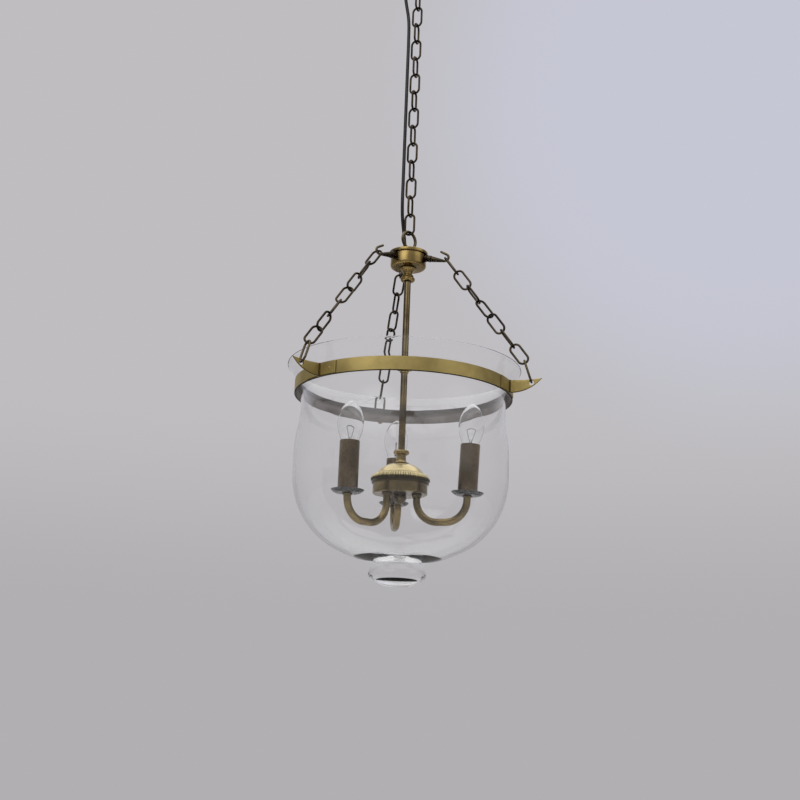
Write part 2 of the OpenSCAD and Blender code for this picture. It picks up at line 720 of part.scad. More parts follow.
module cluster_cup() {
    color(antique) difference() {
        turned(concat(
            [[0, cup_z]], arc([cup_r - cup_round, cup_z + cup_round], cup_round, 270, 360, 4),
            [[cup_r, dome_z + 2.5], [cup_r - sheet, dome_z + 2.5],
             [cup_r - sheet, cup_z + sheet], [0, cup_z + sheet]]
        ));
        translate([0, 0, cup_z - eps]) cylinder(r = rod_r + fit, h = 2 * sheet, $fn = 48);
        for (a = arms) rotate([0, 0, a[0]]) translate([arm_foot_r, 0, cup_z - eps])
            cylinder(d = arm_d + 2 * fit, h = 2 * sheet, $fn = 48);
    }
}

module tie_rod() {
    top = collar_z + 7.8;
    foot = cup_z - finial_r;
    color(brass) {
        difference() {
            translate([0, 0, foot]) cylinder(r = rod_r, h = top - foot, $fn = 48);
            translate([0, 0, foot + 3]) cylinder(r = rod_r - 1.2, h = top - foot, $fn = 32);
            translate([0, 0, cup_z + sheet + nut_h + 5]) rotate([0, 90, 0]) cylinder(r = 1.8, h = 10, $fn = 24);
        }
        translate([0, 0, cup_z + sheet]) nut(rod_r, rod_r + 3.2, nut_h);
    }
}

module finial() {
    mid = cup_z - 4;
    color(antique) difference() {
        union() {
            translate([0, 0, mid]) sphere(r = finial_r, $fn = 64);
            translate([0, 0, mid]) cylinder(r = 5.4, h = 4, $fn = 48);
        }
        translate([0, 0, cup_z]) cylinder(r = 2 * finial_r, h = finial_r, $fn = 48);
        translate([0, 0, cup_z - finial_r - fit]) cylinder(r = rod_r + fit, h = 2 * finial_r, $fn = 48);
    }
}

// Arm: a tube bent down out of the cup, outward and up to its candle
foot_top = cup_z + sheet + 5;

module on_arm(a) {
    rotate([0, 0, a[0]]) children();
}

// Frame of a candle: its origin in the middle of the drip pan's floor
module on_candle(a) {
    on_arm(a) translate([candle_r - arm_bend, 0, cup_z - a[1] + arm_bend]) rotate([0, a[2], 0])
        translate([arm_bend, 0, pan_floor(a)]) children();
}

module arm_path(a, bar, top) {
    low = cup_z - a[1];
    run = candle_r - arm_foot_r - 2 * arm_bend;
    on_arm(a) {
        translate([arm_foot_r, 0, low + arm_bend]) cylinder(d = bar, h = foot_top - low - arm_bend, $fn = 32);
        translate([arm_foot_r + arm_bend, 0, low + arm_bend]) bend(arm_bend, bar, 180, 270);
        translate([arm_foot_r + arm_bend, 0, low]) rotate([0, 90, 0]) cylinder(d = bar, h = run, $fn = 32);
        translate([candle_r - arm_bend, 0, low + arm_bend]) bend(arm_bend, bar, 270, 360 - a[2]);
    }
    on_candle(a) translate([0, 0, -pan_floor(a)]) cylinder(d = bar, h = pan_floor(a) + top, $fn = 32);
}

arm_end = sleeve_z + 8;
lead_r = arm_d / 2 - tube_wall - 0.6;

module arm(a) {
    color(antique) difference() {
        union() {
            arm_path(a, arm_d, arm_end);
            on_arm(a) translate([arm_foot_r, 0, cup_z - 2.4]) cylinder(d = arm_d + 4.2, h = 2.4 - fit, $fn = 48);
            on_arm(a) translate([arm_foot_r, 0, cup_z - 4.8]) cylinder(d = arm_d + 2.6, h = 2.6, $fn = 48);
            on_candle(a) translate([0, 0, -2.2]) cylinder(d = arm_d + 3, h = 2.2 - fit, $fn = 48);
        }
        arm_path(a, arm_d - 2 * tube_wall, arm_end + eps);
        on_arm(a) translate([arm_foot_r, 0, foot_top - eps])
            cylinder(d = arm_d - 2 * tube_wall, h = 2 * eps, $fn = 32);
    }
}

module arm_rear() { arm(arms[0]); }
module arm_left() { arm(arms[1]); }
module arm_right() { arm(arms[2]); }

module arm_nuts() {
    color(brass) for (a = arms) on_arm(a) translate([arm_foot_r, 0, cup_z + sheet]) difference() {
        cylinder(r = arm_d / 2 + 3, h = 3.5, $fn = 6);
        translate([0, 0, -eps]) cylinder(d = arm_d + 2 * fit, h = 3.5 + 2 * eps, $fn = 48);
    }
}

// Leads: from the cup's hollow through each arm to its socket, and down the stem
module inner_leads() {
    color([0.7, 0.66, 0.55]) {
        for (a = arms) arm_path(a, 2 * lead_r, arm_end);
        translate([0, 0, collar_z + 12]) cylinder(r = rod_r - 1.2 - 0.4, h = hub_z - 12 - collar_z, $fn = 32);
    }
}

// Drip pan: a shallow saucer with a rolled rim, flat under the sleeve
pan_flat = sleeve_d / 2 + 0.7;

module drip_pan(a) {
    color([0.3, 0.3, 0.32]) on_candle(a) difference() {
        turned(concat(
            [[0, 0], [pan_flat, 0]],
            [for (i = [1 : 5]) let (t = i / 5) [pan_flat + (pan_r - pan_flat) * t, (pan_h - 0.6) * t * t]],
            [[pan_r, pan_h - 0.2], [pan_r - 0.2, pan_h], [pan_r - 0.8, pan_h]],
            [for (i = [4 : -1 : 0]) let (t = i / 4)
                [pan_flat + (pan_r - 1.3 - pan_flat) * t, pan_t + (pan_h - pan_t - 0.4) * t * t]],
            [[0, pan_t]]
        ));
        translate([0, 0, -eps]) cylinder(d = arm_d + 2 * fit, h = pan_h + 1, $fn = 48);
    }
}

module drip_pan_rear() { drip_pan(arms[0]); }
module drip_pan_left() { drip_pan(arms[1]); }
module drip_pan_right() { drip_pan(arms[2]); }

module candle_sleeve(a) {
    color([0.36, 0.31, 0.23]) on_candle(a) ring(sleeve_d / 2, sleeve_d / 2 - sleeve_wall, sleeve_z, sleeve_len);
}

module candle_sleeve_rear() { candle_sleeve(arms[0]); }
module candle_sleeve_left() { candle_sleeve(arms[1]); }
module candle_sleeve_right() { candle_sleeve(arms[2]); }

// Socket: screwed on the arm's end, with the bore that takes the bulb's cap
module lamp_socket(a) {
    color([0.9, 0.88, 0.82]) on_candle(a) difference() {
        union() {
            translate([0, 0, sleeve_z]) cylinder(r = 8.4, h = 12, $fn = 48);
            translate([0, 0, sleeve_z + 11]) cylinder(r = socket_r, h = socket_top(a) - sleeve_z - 11, $fn = 64);
        }
        translate([0, 0, sleeve_z - eps]) cylinder(d = arm_d + 2 * fit, h = 8 + fit + eps, $fn = 48);
        translate([0, 0, bulb_z(a) - cap_len - 1]) cylinder(r = cap_r + 0.1, h = cap_len + 5, $fn = 48);
    }
}

module lamp_socket_rear() { lamp_socket(arms[0]); }
module lamp_socket_left() { lamp_socket(arms[1]); }
module lamp_socket_right() { lamp_socket(arms[2]); }

// Bulb: a pointed candle shape over a tapering neck; k is 1 at the tip and 0 at the widest place
function bulb_top(wide, high, n) = [
    for (i = [0 : n]) let (k = 1 - pow(i / n, 1.6)) [wide * pow(max(0, 1 - pow(k, 2.1)), 0.66), k * high]
];
function bulb_foot(wide, low, n) = [
    for (i = [1 : n]) [bulb_neck_r + (wide - bulb_neck_r) * (cos(180 * i / n) + 1) / 2, -low * i / n]
];

module bulb_glass(a) {
    low = bulb_len - bulb_wide;
    outer = concat(bulb_top(bulb_d / 2, bulb_wide, 14), bulb_foot(bulb_d / 2, low, 12));
    inner = concat(bulb_top(bulb_d / 2 - bulb_wall, bulb_wide - bulb_wall, 14),
        [for (p = bulb_foot(bulb_d / 2, low, 12)) [p[0] - bulb_wall, p[1]]]);
    color([0.9, 0.93, 0.95, 0.35]) on_candle(a)
        turned(raised(concat(outer, reversed(inner)), bulb_z(a) + low));
}

module bulb_glass_rear() { bulb_glass(arms[0]); }
module bulb_glass_left() { bulb_glass(arms[1]); }
module bulb_glass_right() { bulb_glass(arms[2]); }

// Cap: a threaded brass shell with a contact button
module bulb_cap(a) {
    shell = [
        for (i = [0 : 5]) each [[cap_r - 0.5, 20 - 2.8 * i], [cap_r, 19.2 - 2.8 * i], [cap_r - 0.1, 18.2 - 2.8 * i]]
    ];
    color(brass) on_candle(a) translate([0, 0, bulb_z(a) - cap_len]) turned(concat(
        [[0, cap_len], [bulb_neck_r - bulb_wall - fit, cap_len], [cap_r - 0.2, cap_len - 1]], shell,
        [[5, 2.4], [2.4, 1.4], [2.4, 0], [0, 0]]
    ));
}

module bulb_cap_rear() { bulb_cap(arms[0]); }
module bulb_cap_left() { bulb_cap(arms[1]); }
module bulb_cap_right() { bulb_cap(arms[2]); }

// Mount: the glass stem on the cap, with two support wires and the filament across them
mount_len = 32;
wire_spread = 7;

module bulb_mount(a) {
    color([0.6, 0.6, 0.6]) on_candle(a) translate([0, 0, bulb_z(a)]) {
        turned([[0, fit], [4.6, fit], [2.6, 8], [1.7, 20], [1.7, mount_len], [0, mount_len]]);
        for (side = [-1, 1]) {
            rise = 18;
            tilt = atan2(wire_spread - 1, rise);
            translate([side, 0, mount_len - 8]) rotate([0, side * tilt, 0])
                cylinder(r = 0.4, h = rise / cos(tilt), $fn = 16);
        }
        translate([-wire_spread, 0, mount_len + 10]) rotate([0, 90, 0])
            cylinder(r = 0.4, h = 2 * wire_spread, $fn = 16);
    }
}

module bulb_mount_rear() { bulb_mount(arms[0]); }
module bulb_mount_left() { bulb_mount(arms[1]); }
module bulb_mount_right() { bulb_mount(arms[2]); }

// Jar: outer line from the rim down to the axis, for a wall moved in by d
s_arc = (pow(belly_top - flare_h, 2) + pow(belly_r - neck_r, 2)) / (4 * (belly_r - neck_r));
s_turn = asin((belly_top - flare_h) / 2 / s_arc);

function jar_line(d, last = -90) = concat(
    arc([neck_r + flare_arc, -flare_h], flare_arc + d, 180 - asin(flare_h / (flare_arc + d)), 180, 10),
    arc([neck_r + s_arc, -flare_h], s_arc + d, 180, 180 + s_turn, 5),
    arc([belly_r - s_arc, -belly_top], s_arc - d, s_turn, 0, 5),
    arc([belly_r - corner_r, corner_z], corner_r - d, 0, corner_end, 14),
    arc([0, bottom_r - jar_h], bottom_r - d, corner_end, last, 12)
);

// Inside of the jar, which is nearly flat over the knob
base_edge = bottom_r - jar_h - sqrt(pow(bottom_r - jar_wall, 2) - pow(base_r, 2));
inside_line = concat(
    jar_line(jar_wall, -acos(base_r / (bottom_r - jar_wall))),
    [for (i = [1 : 8]) [base_r * (1 - i / 8), base_edge + (base_t - jar_h - base_edge) * sin(90 * i / 8)]]
);

// Knob: half an ellipse below its widest place, and a steeper one from there up to its neck
knob_top = bottom_r - sqrt(pow(bottom_r, 2) - pow(knob_neck_r, 2));
knob_wide = knob_below - knob_h;
knob_turn = acos(knob_neck_r / knob_r);
knob_above = (knob_top - knob_wide) / sin(knob_turn);
knob_line = concat(
    [for (i = [0 : 4]) let(t = knob_turn * (1 - i / 4)) [knob_r * cos(t), knob_wide + knob_above * sin(t)]],
    [for (i = [1 : 9]) [knob_r * cos(10 * i), knob_wide - knob_below * sin(10 * i)]]
);

module glass_jar() {
    color([0.85, 0.9, 0.92, 0.3]) translate([0, 0, rim_z]) union() {
        turned(concat(jar_line(0), reversed(inside_line)));
        translate([0, 0, -jar_h]) turned(concat([[0, knob_top + 1], [knob_neck_r, knob_top + 1]], knob_line));
    }
}

// Places of the rivets, two for each ear
rivet_r = 1.4;
rivet_turns = [
    for (a = [ear_turn_rear, ear_turn_left, ear_turn_right], side = [-1, 1]) a + side * rivet_turn
];

module at_rivets() {
    for (t = rivet_turns) rotate([0, 0, t]) translate([band_in + band_t / 2, 0, band_z - band_h / 2])
        rotate([0, 90, 0]) children();
}

module band() {
    color(olive) {
        difference() {
            ring(band_out, band_in, band_z - band_h, band_h);
            at_rivets() cylinder(r = rivet_r + fit, h = 2 * band_t, center = true, $fn = 24);
        }
        at_rivets() {
            translate([0, 0, -band_t / 2 + 0.2]) cylinder(r = rivet_r, h = band_t + ear_t + 0.2, $fn = 24);
            translate([0, 0, band_t / 2 + ear_t + 0.2]) cylinder(r1 = rivet_r + 1, r2 = rivet_r, h = 0.8, $fn = 24);
        }
    }
}

// Ear: a sheet folded into a double horn, its two ends bent round to lie on the band
horn_arc = 55;
horn_dip = 1.2;

module ear(azimuth) {
    foot = band_z - band_h + 0.5;
    tall = band_h - 1;
    color(olive) rotate([0, 0, azimuth]) difference() {
        union() {
            translate([0, 0, foot]) rotate([0, 0, -ear_tab]) rotate_extrude(angle = 2 * ear_tab, $fn = 180)
                translate([ear_out - ear_t, 0]) square([ear_t, tall]);
            rotate([90, 0, 0]) linear_extrude(2 * ear_t, center = true) difference() {
                horn_outline(foot + 0.2, tall - 0.5);
                translate([ear_hole_r, ear_hole_z]) circle(d = ear_hole_d, $fn = 48);
            }
        }
        for (side = [-1, 1]) rotate([0, 0, side * rivet_turn]) translate([band_out - 5, 0, band_z - band_h / 2])
            rotate([0, 90, 0]) cylinder(r = rivet_r + fit, h = 12, $fn = 24);
    }
}

// Side of the horn: a lower edge that sweeps up to the tip, and a slightly dipped top edge
module horn_outline(foot, tall) {
    root = ear_out - ear_t / 2;
    flat = 5;
    sweep = ear_tip_r - root - flat;
    tip_z = foot + horn_arc - sqrt(pow(horn_arc, 2) - pow(sweep, 2));
    lower = arc([root + flat, foot + horn_arc], horn_arc, 270, 270 + asin(sweep / horn_arc), 14);
    upper = [
        for (i = [1 : 8]) let (t = i / 8)
            [ear_tip_r + (root - ear_tip_r) * t, tip_z + (foot + tall - tip_z) * t - horn_dip * sin(180 * t)]
    ];
    polygon(concat([[root, foot]], lower, upper));
}

module ear_rear() { ear(ear_turn_rear); }
module ear_left() { ear(ear_turn_left); }
module ear_right() { ear(ear_turn_right); }

canopy();
mounting_bar();
canopy_nipple();
canopy_loop();
cord_grip();
terminal_block();
suspension_chain();
flex_upper();
flex_lower();
hanging_loop();
hub_lid();
hub_cup();
hub_nipple();
lid_bush();
hook_rear();
hook_left();
hook_right();
hub_neck();
upper_stem();
stem_coupler();
lower_stem();
cluster_neck();
cluster_dome();
cluster_cup();
tie_rod();
finial();
arm_rear();
arm_left();
arm_right();
arm_nuts();
inner_leads();
drip_pan_rear();
drip_pan_left();
drip_pan_right();
candle_sleeve_rear();
candle_sleeve_left();
candle_sleeve_right();
lamp_socket_rear();
lamp_socket_left();
lamp_socket_right();
bulb_glass_rear();
bulb_glass_left();
bulb_glass_right();
bulb_cap_rear();
bulb_cap_left();
bulb_cap_right();
bulb_mount_rear();
bulb_mount_left();
bulb_mount_right();
chain_rear();
chain_left();
chain_right();
end_link_rear();
end_link_left();
end_link_right();
glass_jar();
band();
ear_rear();
ear_left();
ear_right();
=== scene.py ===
import math

import bmesh
import bpy
from mathutils import Matrix, Vector


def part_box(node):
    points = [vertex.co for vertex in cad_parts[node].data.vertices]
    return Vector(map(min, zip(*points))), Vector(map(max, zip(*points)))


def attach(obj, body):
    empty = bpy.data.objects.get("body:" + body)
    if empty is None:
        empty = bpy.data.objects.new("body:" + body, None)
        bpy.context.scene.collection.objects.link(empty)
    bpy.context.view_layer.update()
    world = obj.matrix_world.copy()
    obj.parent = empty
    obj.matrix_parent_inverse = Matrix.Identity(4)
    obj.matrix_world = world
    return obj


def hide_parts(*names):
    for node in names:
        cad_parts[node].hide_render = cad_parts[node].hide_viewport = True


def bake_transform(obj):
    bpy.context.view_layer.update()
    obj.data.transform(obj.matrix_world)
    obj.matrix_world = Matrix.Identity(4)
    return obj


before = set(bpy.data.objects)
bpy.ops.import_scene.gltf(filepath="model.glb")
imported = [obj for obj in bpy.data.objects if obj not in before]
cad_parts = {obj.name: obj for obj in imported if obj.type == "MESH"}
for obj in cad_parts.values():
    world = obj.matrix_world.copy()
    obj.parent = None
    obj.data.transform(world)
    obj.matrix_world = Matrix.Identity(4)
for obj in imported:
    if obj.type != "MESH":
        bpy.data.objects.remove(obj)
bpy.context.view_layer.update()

# Outlines, paths and places are in millimetres, as in the CAD source. Meshes are made in metres.
MM = 0.001
SIDES = ("rear", "left", "right")


def top(node):
    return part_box(node)[1].z / MM


def foot(node):
    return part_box(node)[0].z / MM


# Heights, read from the frame
canopy_foot = foot("canopy")
lid_z = top("hub_lid")
hub_z = foot("hub_cup")
neck_z = foot("hub_neck")
coupler_z = foot("stem_coupler")
collar_z = top("cluster_dome")
dome_z = foot("cluster_dome")
cup_z = foot("cluster_cup")
rim_z = top("glass_jar")
band_top = top("band")
band_foot = foot("band")

# Camera, from the ellipses of the jar's rim, the band and the cluster, in metres and radians
CAMERA_BACK = 1.466
CAMERA_BELOW_RIM = 0.41203
CAMERA_PITCH = math.radians(14.135)
CAMERA_YAW = -0.00316375
CAMERA_ROLL = 0.0373445
SENSOR = 36
PHOTO_SIDE = 800
FOCAL_PIXELS = 1074.36
LENS = FOCAL_PIXELS * SENSOR / PHOTO_SIDE


def make_camera():
    data = bpy.data.cameras.new("camera")
    data.sensor_width = SENSOR
    data.lens = LENS
    camera = bpy.data.objects.new("camera", data)
    bpy.context.scene.collection.objects.link(camera)
    ahead = Vector((
        math.sin(CAMERA_YAW) * math.cos(CAMERA_PITCH),
        math.cos(CAMERA_YAW) * math.cos(CAMERA_PITCH),
        math.sin(CAMERA_PITCH),
    ))
    level = Vector((math.cos(CAMERA_YAW), -math.sin(CAMERA_YAW), 0))
    upright = level.cross(ahead)
    right = math.cos(CAMERA_ROLL) * level + math.sin(CAMERA_ROLL) * upright
    up = math.cos(CAMERA_ROLL) * upright - math.sin(CAMERA_ROLL) * level
    camera.matrix_world = Matrix((
        (right.x, up.x, -ahead.x, 0),
        (right.y, up.y, -ahead.y, -CAMERA_BACK),
        (right.z, up.z, -ahead.z, rim_z * MM - CAMERA_BELOW_RIM),
        (0, 0, 0, 1),
    ))
    bpy.context.scene.camera = camera


# An outline is a list of 2-D points. A mesh is a pair: its points in millimetres, and its faces.
TINY = 1e-6


def arc(centre, radius, start, end, steps):
    """Outline of a circle's arc from one angle to another, in degrees."""
    angles = [math.radians(start + (end - start) * i / steps) for i in range(steps + 1)]
    return [(centre[0] + radius * math.cos(a), centre[1] + radius * math.sin(a)) for a in angles]


def eased(points, radius, steps=3):
    """The outline with its corners rounded by about that radius. A corner that hardly turns stays."""
    hardly_turning, share_of_side = math.radians(155), 0.45
    made = [tuple(points[0])]
    for before, here, after in zip(points, points[1:], points[2:]):
        here = Vector(here)
        back, on = Vector(before) - here, Vector(after) - here
        if min(back.length, on.length) < TINY:
            continue
        angle = back.angle(on)
        if angle > hardly_turning:
            made.append(tuple(here))
            continue
        cut = min(radius / math.tan(angle / 2), back.length * share_of_side, on.length * share_of_side)
        a, b = here + back.normalized() * cut, here + on.normalized() * cut
        for i in range(steps + 1):
            t = i / steps
            made.append(tuple(a * (1 - t) ** 2 + here * 2 * t * (1 - t) + b * t ** 2))
    made.append(tuple(points[-1]))
    return made


def revolved(outline, steps=96, closed=False, wave=None):
    """The outline of (radius, height) turned about Z. wave(turn, index, radius) gives a new radius."""
    points, rows = [], []
    for index, (radius, height) in enumerate(outline):
        if radius < TINY:
            rows.append([len(points)] * steps)
            points.append((0, 0, height))
            continue
        rows.append(list(range(len(points), len(points) + steps)))
        for k in range(steps):
            turn = 2 * math.pi * k / steps
            r = radius if wave is None else wave(turn, index, radius)
            points.append((r * math.cos(turn), r * math.sin(turn), height))
    pairs = list(zip(rows, rows[1:]))
    if closed:
        pairs.append((rows[-1], rows[0]))
    faces = []
    for low, high in pairs:
        for k in range(steps):
            j = (k + 1) % steps
            face = [low[k], low[j], high[j], high[k]]
            kept = [v for i, v in enumerate(face) if v != face[i - 1]]
            if len(kept) > 2:
                faces.append(kept)
    return points, faces


def tube(path, radius, sides=16, closed=False):
    """A tube along the path. radius is one number, or one for each point of the path."""
    path = [Vector(p) for p in path]
    count = len(path)
    radii = radius if hasattr(radius, "__len__") else [radius] * count
    tangents = []
    for i in range(count):
        before = path[i - 1] if closed or i else path[i]
        after = path[(i + 1) % count] if closed or i < count - 1 else path[i]
        tangents.append((after - before).normalized())
    side = tangents[0].orthogonal().normalized()
    points, faces = [], []
    for i in range(count):
        side = (side - tangents[i] * side.dot(tangents[i])).normalized()
        other = tangents[i].cross(side)
        for k in range(sides):
            turn = 2 * math.pi * k / sides
            points.append(path[i] + radii[i] * (math.cos(turn) * side + math.sin(turn) * other))
    for i in range(count if closed else count - 1):
        a, b = i * sides, (i + 1) % count * sides
        for k in range(sides):
            j = (k + 1) % sides
            faces.append([a + k, a + j, b + j, b + k])
    if not closed:
        faces.append(list(range(sides))[::-1])
        faces.append([(count - 1) * sides + k for k in range(sides)])
    return points, faces


def moved(made, matrix):
    return [matrix @ Vector(p) for p in made[0]], made[1]


def joined(*several):
    points, faces = [], []
    for more_points, more_faces in several:
        start = len(points)
        points.extend(more_points)
        faces.extend([v + start for v in face] for face in more_faces)
    return points, faces


def shift(x, y, z):
    return Matrix.Translation((x, y, z))


def turn_about(axis, degrees):
    return Matrix.Rotation(math.radians(degrees), 4, axis)


def frame_along(origin, direction):
    """Frame at origin whose -Z runs along direction and whose X is level."""
    x = Vector((-direction.y, direction.x, 0)).normalized()
    y = (-direction).cross(x)
    columns = (x, y, -direction)
    rows = [[c[i] for c in columns] + [origin[i]] for i in range(3)]
    return Matrix(rows + [[0, 0, 0, 1]])


def piece(name, made, material, body, nodes=(), place=None, sharp=38):
    """An object on its body, smooth but for edges that turn by more than sharp degrees.

    nodes are the CAD nodes that it replaces. place is its own frame, in millimetres.
    """
    mesh = bpy.data.meshes.new(name)
    mesh.from_pydata([Vector(p) * MM for p in made[0]], [], made[1])
    work = bmesh.new()
    work.from_mesh(mesh)
    bmesh.ops.recalc_face_normals(work, faces=work.faces)
    work.to_mesh(mesh)
    work.free()
    mesh.shade_smooth()
    mesh.set_sharp_from_angle(angle=math.radians(sharp))
    mesh.materials.append(material)
    made_object = bpy.data.objects.new(name, mesh)
    bpy.context.scene.collection.objects.link(made_object)
    if place is not None:
        seat = place.copy()
        seat.translation = place.translation * MM
        made_object.matrix_world = seat
    if body:
        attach(made_object, body)
    if nodes:
        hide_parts(*nodes)
    return made_object


# Materials. The scale of a noise is its number of features in a metre.
PATCH_SCALE, BRUSH_SCALE, MOTTLE_SCALE, SPECKLE_SCALE = 38, 260, 620, 400
PATCH_EDGES = 0.35, 0.65
BRUSHING_HEIGHT, SPECKLE_HEIGHT, WAVE_HEIGHT = 0.0002, 0.0001, 0.004
GLASS_INDEX, GLASS_TINT_STEP = 1.4, 0.7


def shader_node(tree, kind, values=None, **settings):
    """A node. values are for its inputs, by name or number: plain values, or outputs of other nodes."""
    made = tree.nodes.new("ShaderNode" + kind)
    for name, value in settings.items():
        setattr(made, name, value)
    for name, value in (values or {}).items():
        if isinstance(value, bpy.types.NodeSocket):
            tree.links.new(value, made.inputs[name])
        else:
            made.inputs[name].default_value = value
    return made


def calculated(tree, operation, one, other):
    return shader_node(tree, "Math", {0: one, 1: other}, operation=operation).outputs[0]


def mixed_colour(tree, share, before, after):
    """The colour before where share is 0, and after where it is 1."""
    # Among this node's sockets, colours come in at 6 and 7 and go out at 2
    return shader_node(tree, "Mix", {0: share, 6: before, 7: after}, data_type="RGBA").outputs[2]


def ranged(tree, source, start, end, low=0.0, high=1.0, way="LINEAR"):
    """Runs from low to high while the source runs from start to end."""
    values = {"Value": source, "From Min": start, "From Max": end, "To Min": low, "To Max": high}
    return shader_node(tree, "MapRange", values, interpolation_type=way).outputs["Result"]


def noise(tree, scale, detail, stretch=(1, 1, 1)):
    """A noise that stays with its object. stretch multiplies its scale along each axis."""
    place = shader_node(tree, "TexCoord")
    spread = shader_node(tree, "Mapping", {"Vector": place.outputs["Object"], "Scale": stretch})
    values = {"Vector": spread.outputs["Vector"], "Scale": scale, "Detail": detail}
    return shader_node(tree, "TexNoise", values).outputs["Fac"]


def patched(tree, low, high, source):
    """Patches of two colours where the source is low and high."""
    ramp = shader_node(tree, "ValToRGB", {"Fac": source})
    for end, position, tone in zip(ramp.color_ramp.elements, PATCH_EDGES, (low, high)):
        end.position, end.color = position, tone
    return ramp.outputs["Color"]


def colour(rgb):
    """Linear colour from one that is read off a screen, 0 to 255."""
    parts = [c / 255 for c in rgb]
    return [c / 12.92 if c <= 0.04045 else ((c + 0.055) / 1.055) ** 2.4 for c in parts] + [1]


def blank_material(name):
    material = bpy.data.materials.new(name)
    material.use_nodes = True
    material.node_tree.nodes.clear()
    return material, material.node_tree


def show(tree, surface):
    shader_node(tree, "OutputMaterial", {"Surface": surface})


def show_coat(tree, tone, gloss, height, depth, reach, metallic=0.0):
    """A surface of that colour and roughness, with a relief that is reach metres high at depth 1."""
    relief = shader_node(tree, "Bump", {"Strength": depth, "Distance": reach, "Height": height})
    surface = shader_node(tree, "BsdfPrincipled", {
        "Base Color": tone, "Roughness": gloss, "Normal": relief.outputs["Normal"], "Metallic": metallic,
    })
    show(tree, surface.outputs["BSDF"])


def metal(name, light, dark, rough, patina, grain=(1, 1, 30), grain_depth=0.25, recess=0.004, bare=1.0):
    """Aged metal: patches of patina, painted shade in recesses and between parts, fine brushing and a mottled
    gloss.

    grain is the brushing's stretch, and recess is how wide a hollow that gets painted shade is at most, in
    metres.
    Where bare is under 1, the metal is partly lacquer.
    """
    material, tree = blank_material(name)
    worn = [d + (l - d) * (1 - patina) for l, d in zip(colour(light), colour(dark))]
    patches = patched(tree, worn, colour(light), noise(tree, PATCH_SCALE, 5))
    # Painted shade: the dark colour is mixed in where an ambient-occlusion mask finds other surfaces close
    # by.
    painted_shade = shader_node(tree, "AmbientOcclusion", {"Distance": recess}, samples=6)
    tone = mixed_colour(tree, ranged(tree, painted_shade.outputs["AO"], 0.35, 0.85), colour(dark), patches)
    brushing = noise(tree, BRUSH_SCALE, 3, grain)
    gloss = ranged(tree, brushing, 0.3, 0.7, *rough)
    height = calculated(tree, "ADD", brushing, noise(tree, MOTTLE_SCALE, 2))
    show_coat(tree, tone, gloss, height, grain_depth, BRUSHING_HEIGHT, bare)
    return material


def plastic(name, light, dark, rough):
    material, tree = blank_material(name)
    speckle = noise(tree, SPECKLE_SCALE, 3)
    gloss = ranged(tree, speckle, 0, 1, rough - 0.08, rough + 0.08)
    show_coat(tree, patched(tree, colour(dark), colour(light), speckle), gloss, speckle, 0.2, SPECKLE_HEIGHT)
    return material


def glass(name, tint, waves=0.0, wave_scale=12):
    """Clear glass that lets the lamps light what is behind it, with slight waves in its surface."""
    material, tree = blank_material(name)
    swell = noise(tree, wave_scale, 2, (1, 1, 0.4))
    tone = patched(tree, colour([c - GLASS_TINT_STEP for c in tint]), colour(tint), swell)
    clear = shader_node(tree, "BsdfGlass", {"IOR": GLASS_INDEX, "Roughness": 0.0, "Color": tone})
    if waves:
        relief = shader_node(tree, "Bump", {"Strength": waves, "Distance": WAVE_HEIGHT, "Height": swell})
        tree.links.new(relief.outputs["Normal"], clear.inputs["Normal"])
    through = shader_node(tree, "BsdfTransparent")
    rays = shader_node(tree, "LightPath")
    values = {"Fac": rays.outputs["Is Shadow Ray"], 1: clear.outputs["BSDF"], 2: through.outputs["BSDF"]}
    show(tree, shader_node(tree, "MixShader", values).outputs["Shader"])
    return material


# Each has its light and dark colours, then its roughness and, for a metal, its share of patina.
brass = metal("brass", (170, 146, 92), (56, 40, 20), (0.18, 0.28), 0.45, grain_depth=0.08)
antique = metal("antique_brass", (172, 151, 102), (36, 26, 13), (0.17, 0.27), 0.6, grain_depth=0.1, bare=0.9)
arm_brass = metal("arm_brass", (144, 125, 84), (30, 22, 11), (0.17, 0.27), 0.6, grain_depth=0.1, bare=0.9)
# Painted highlight: the dome's crown is a lighter copy of the brass, for the light that falls on it from
# above.
dome_painted_light = metal("dome_painted_light", (218, 200, 150), (36, 27, 14), (0.2, 0.3), 0.35, grain_depth=0.08, bare=0.7)
# Painted light and painted shade on the dome's leaves: a light copy of the brass above a scalloped line, a
# dark copy below.
leaf_painted_light = metal("leaf_painted_light", (222, 204, 152), (16, 12, 7), (0.3, 0.4), 0.3, grain_depth=0.1,
                   recess=0.0022, bare=0.6)
leaf_painted_shade = metal("leaf_painted_shade", (84, 72, 46), (16, 12, 7), (0.24, 0.34), 0.5, recess=0.003)
stem_brass = metal("stem_brass", (134, 118, 87), (28, 20, 11), (0.15, 0.26), 0.6, (30, 30, 1), 0.3)
finial_brass = metal("finial_brass", (100, 88, 66), (20, 16, 10), (0.2, 0.32), 0.6)
hook_brass = metal("hook_brass", (108, 96, 74), (10, 8, 6), (0.16, 0.28), 0.6, recess=0.003)
olive = metal("olive_brass", (168, 149, 92), (78, 66, 34), (0.38, 0.5), 0.35, (1, 1, 8), 0.12, bare=0.75)
# Painted shade in the ears' bends.
bend_shade_brass = metal("bend_shade_brass", (92, 78, 46), (28, 22, 12), (0.4, 0.5), 0.5, (1, 1, 8), 0.12)
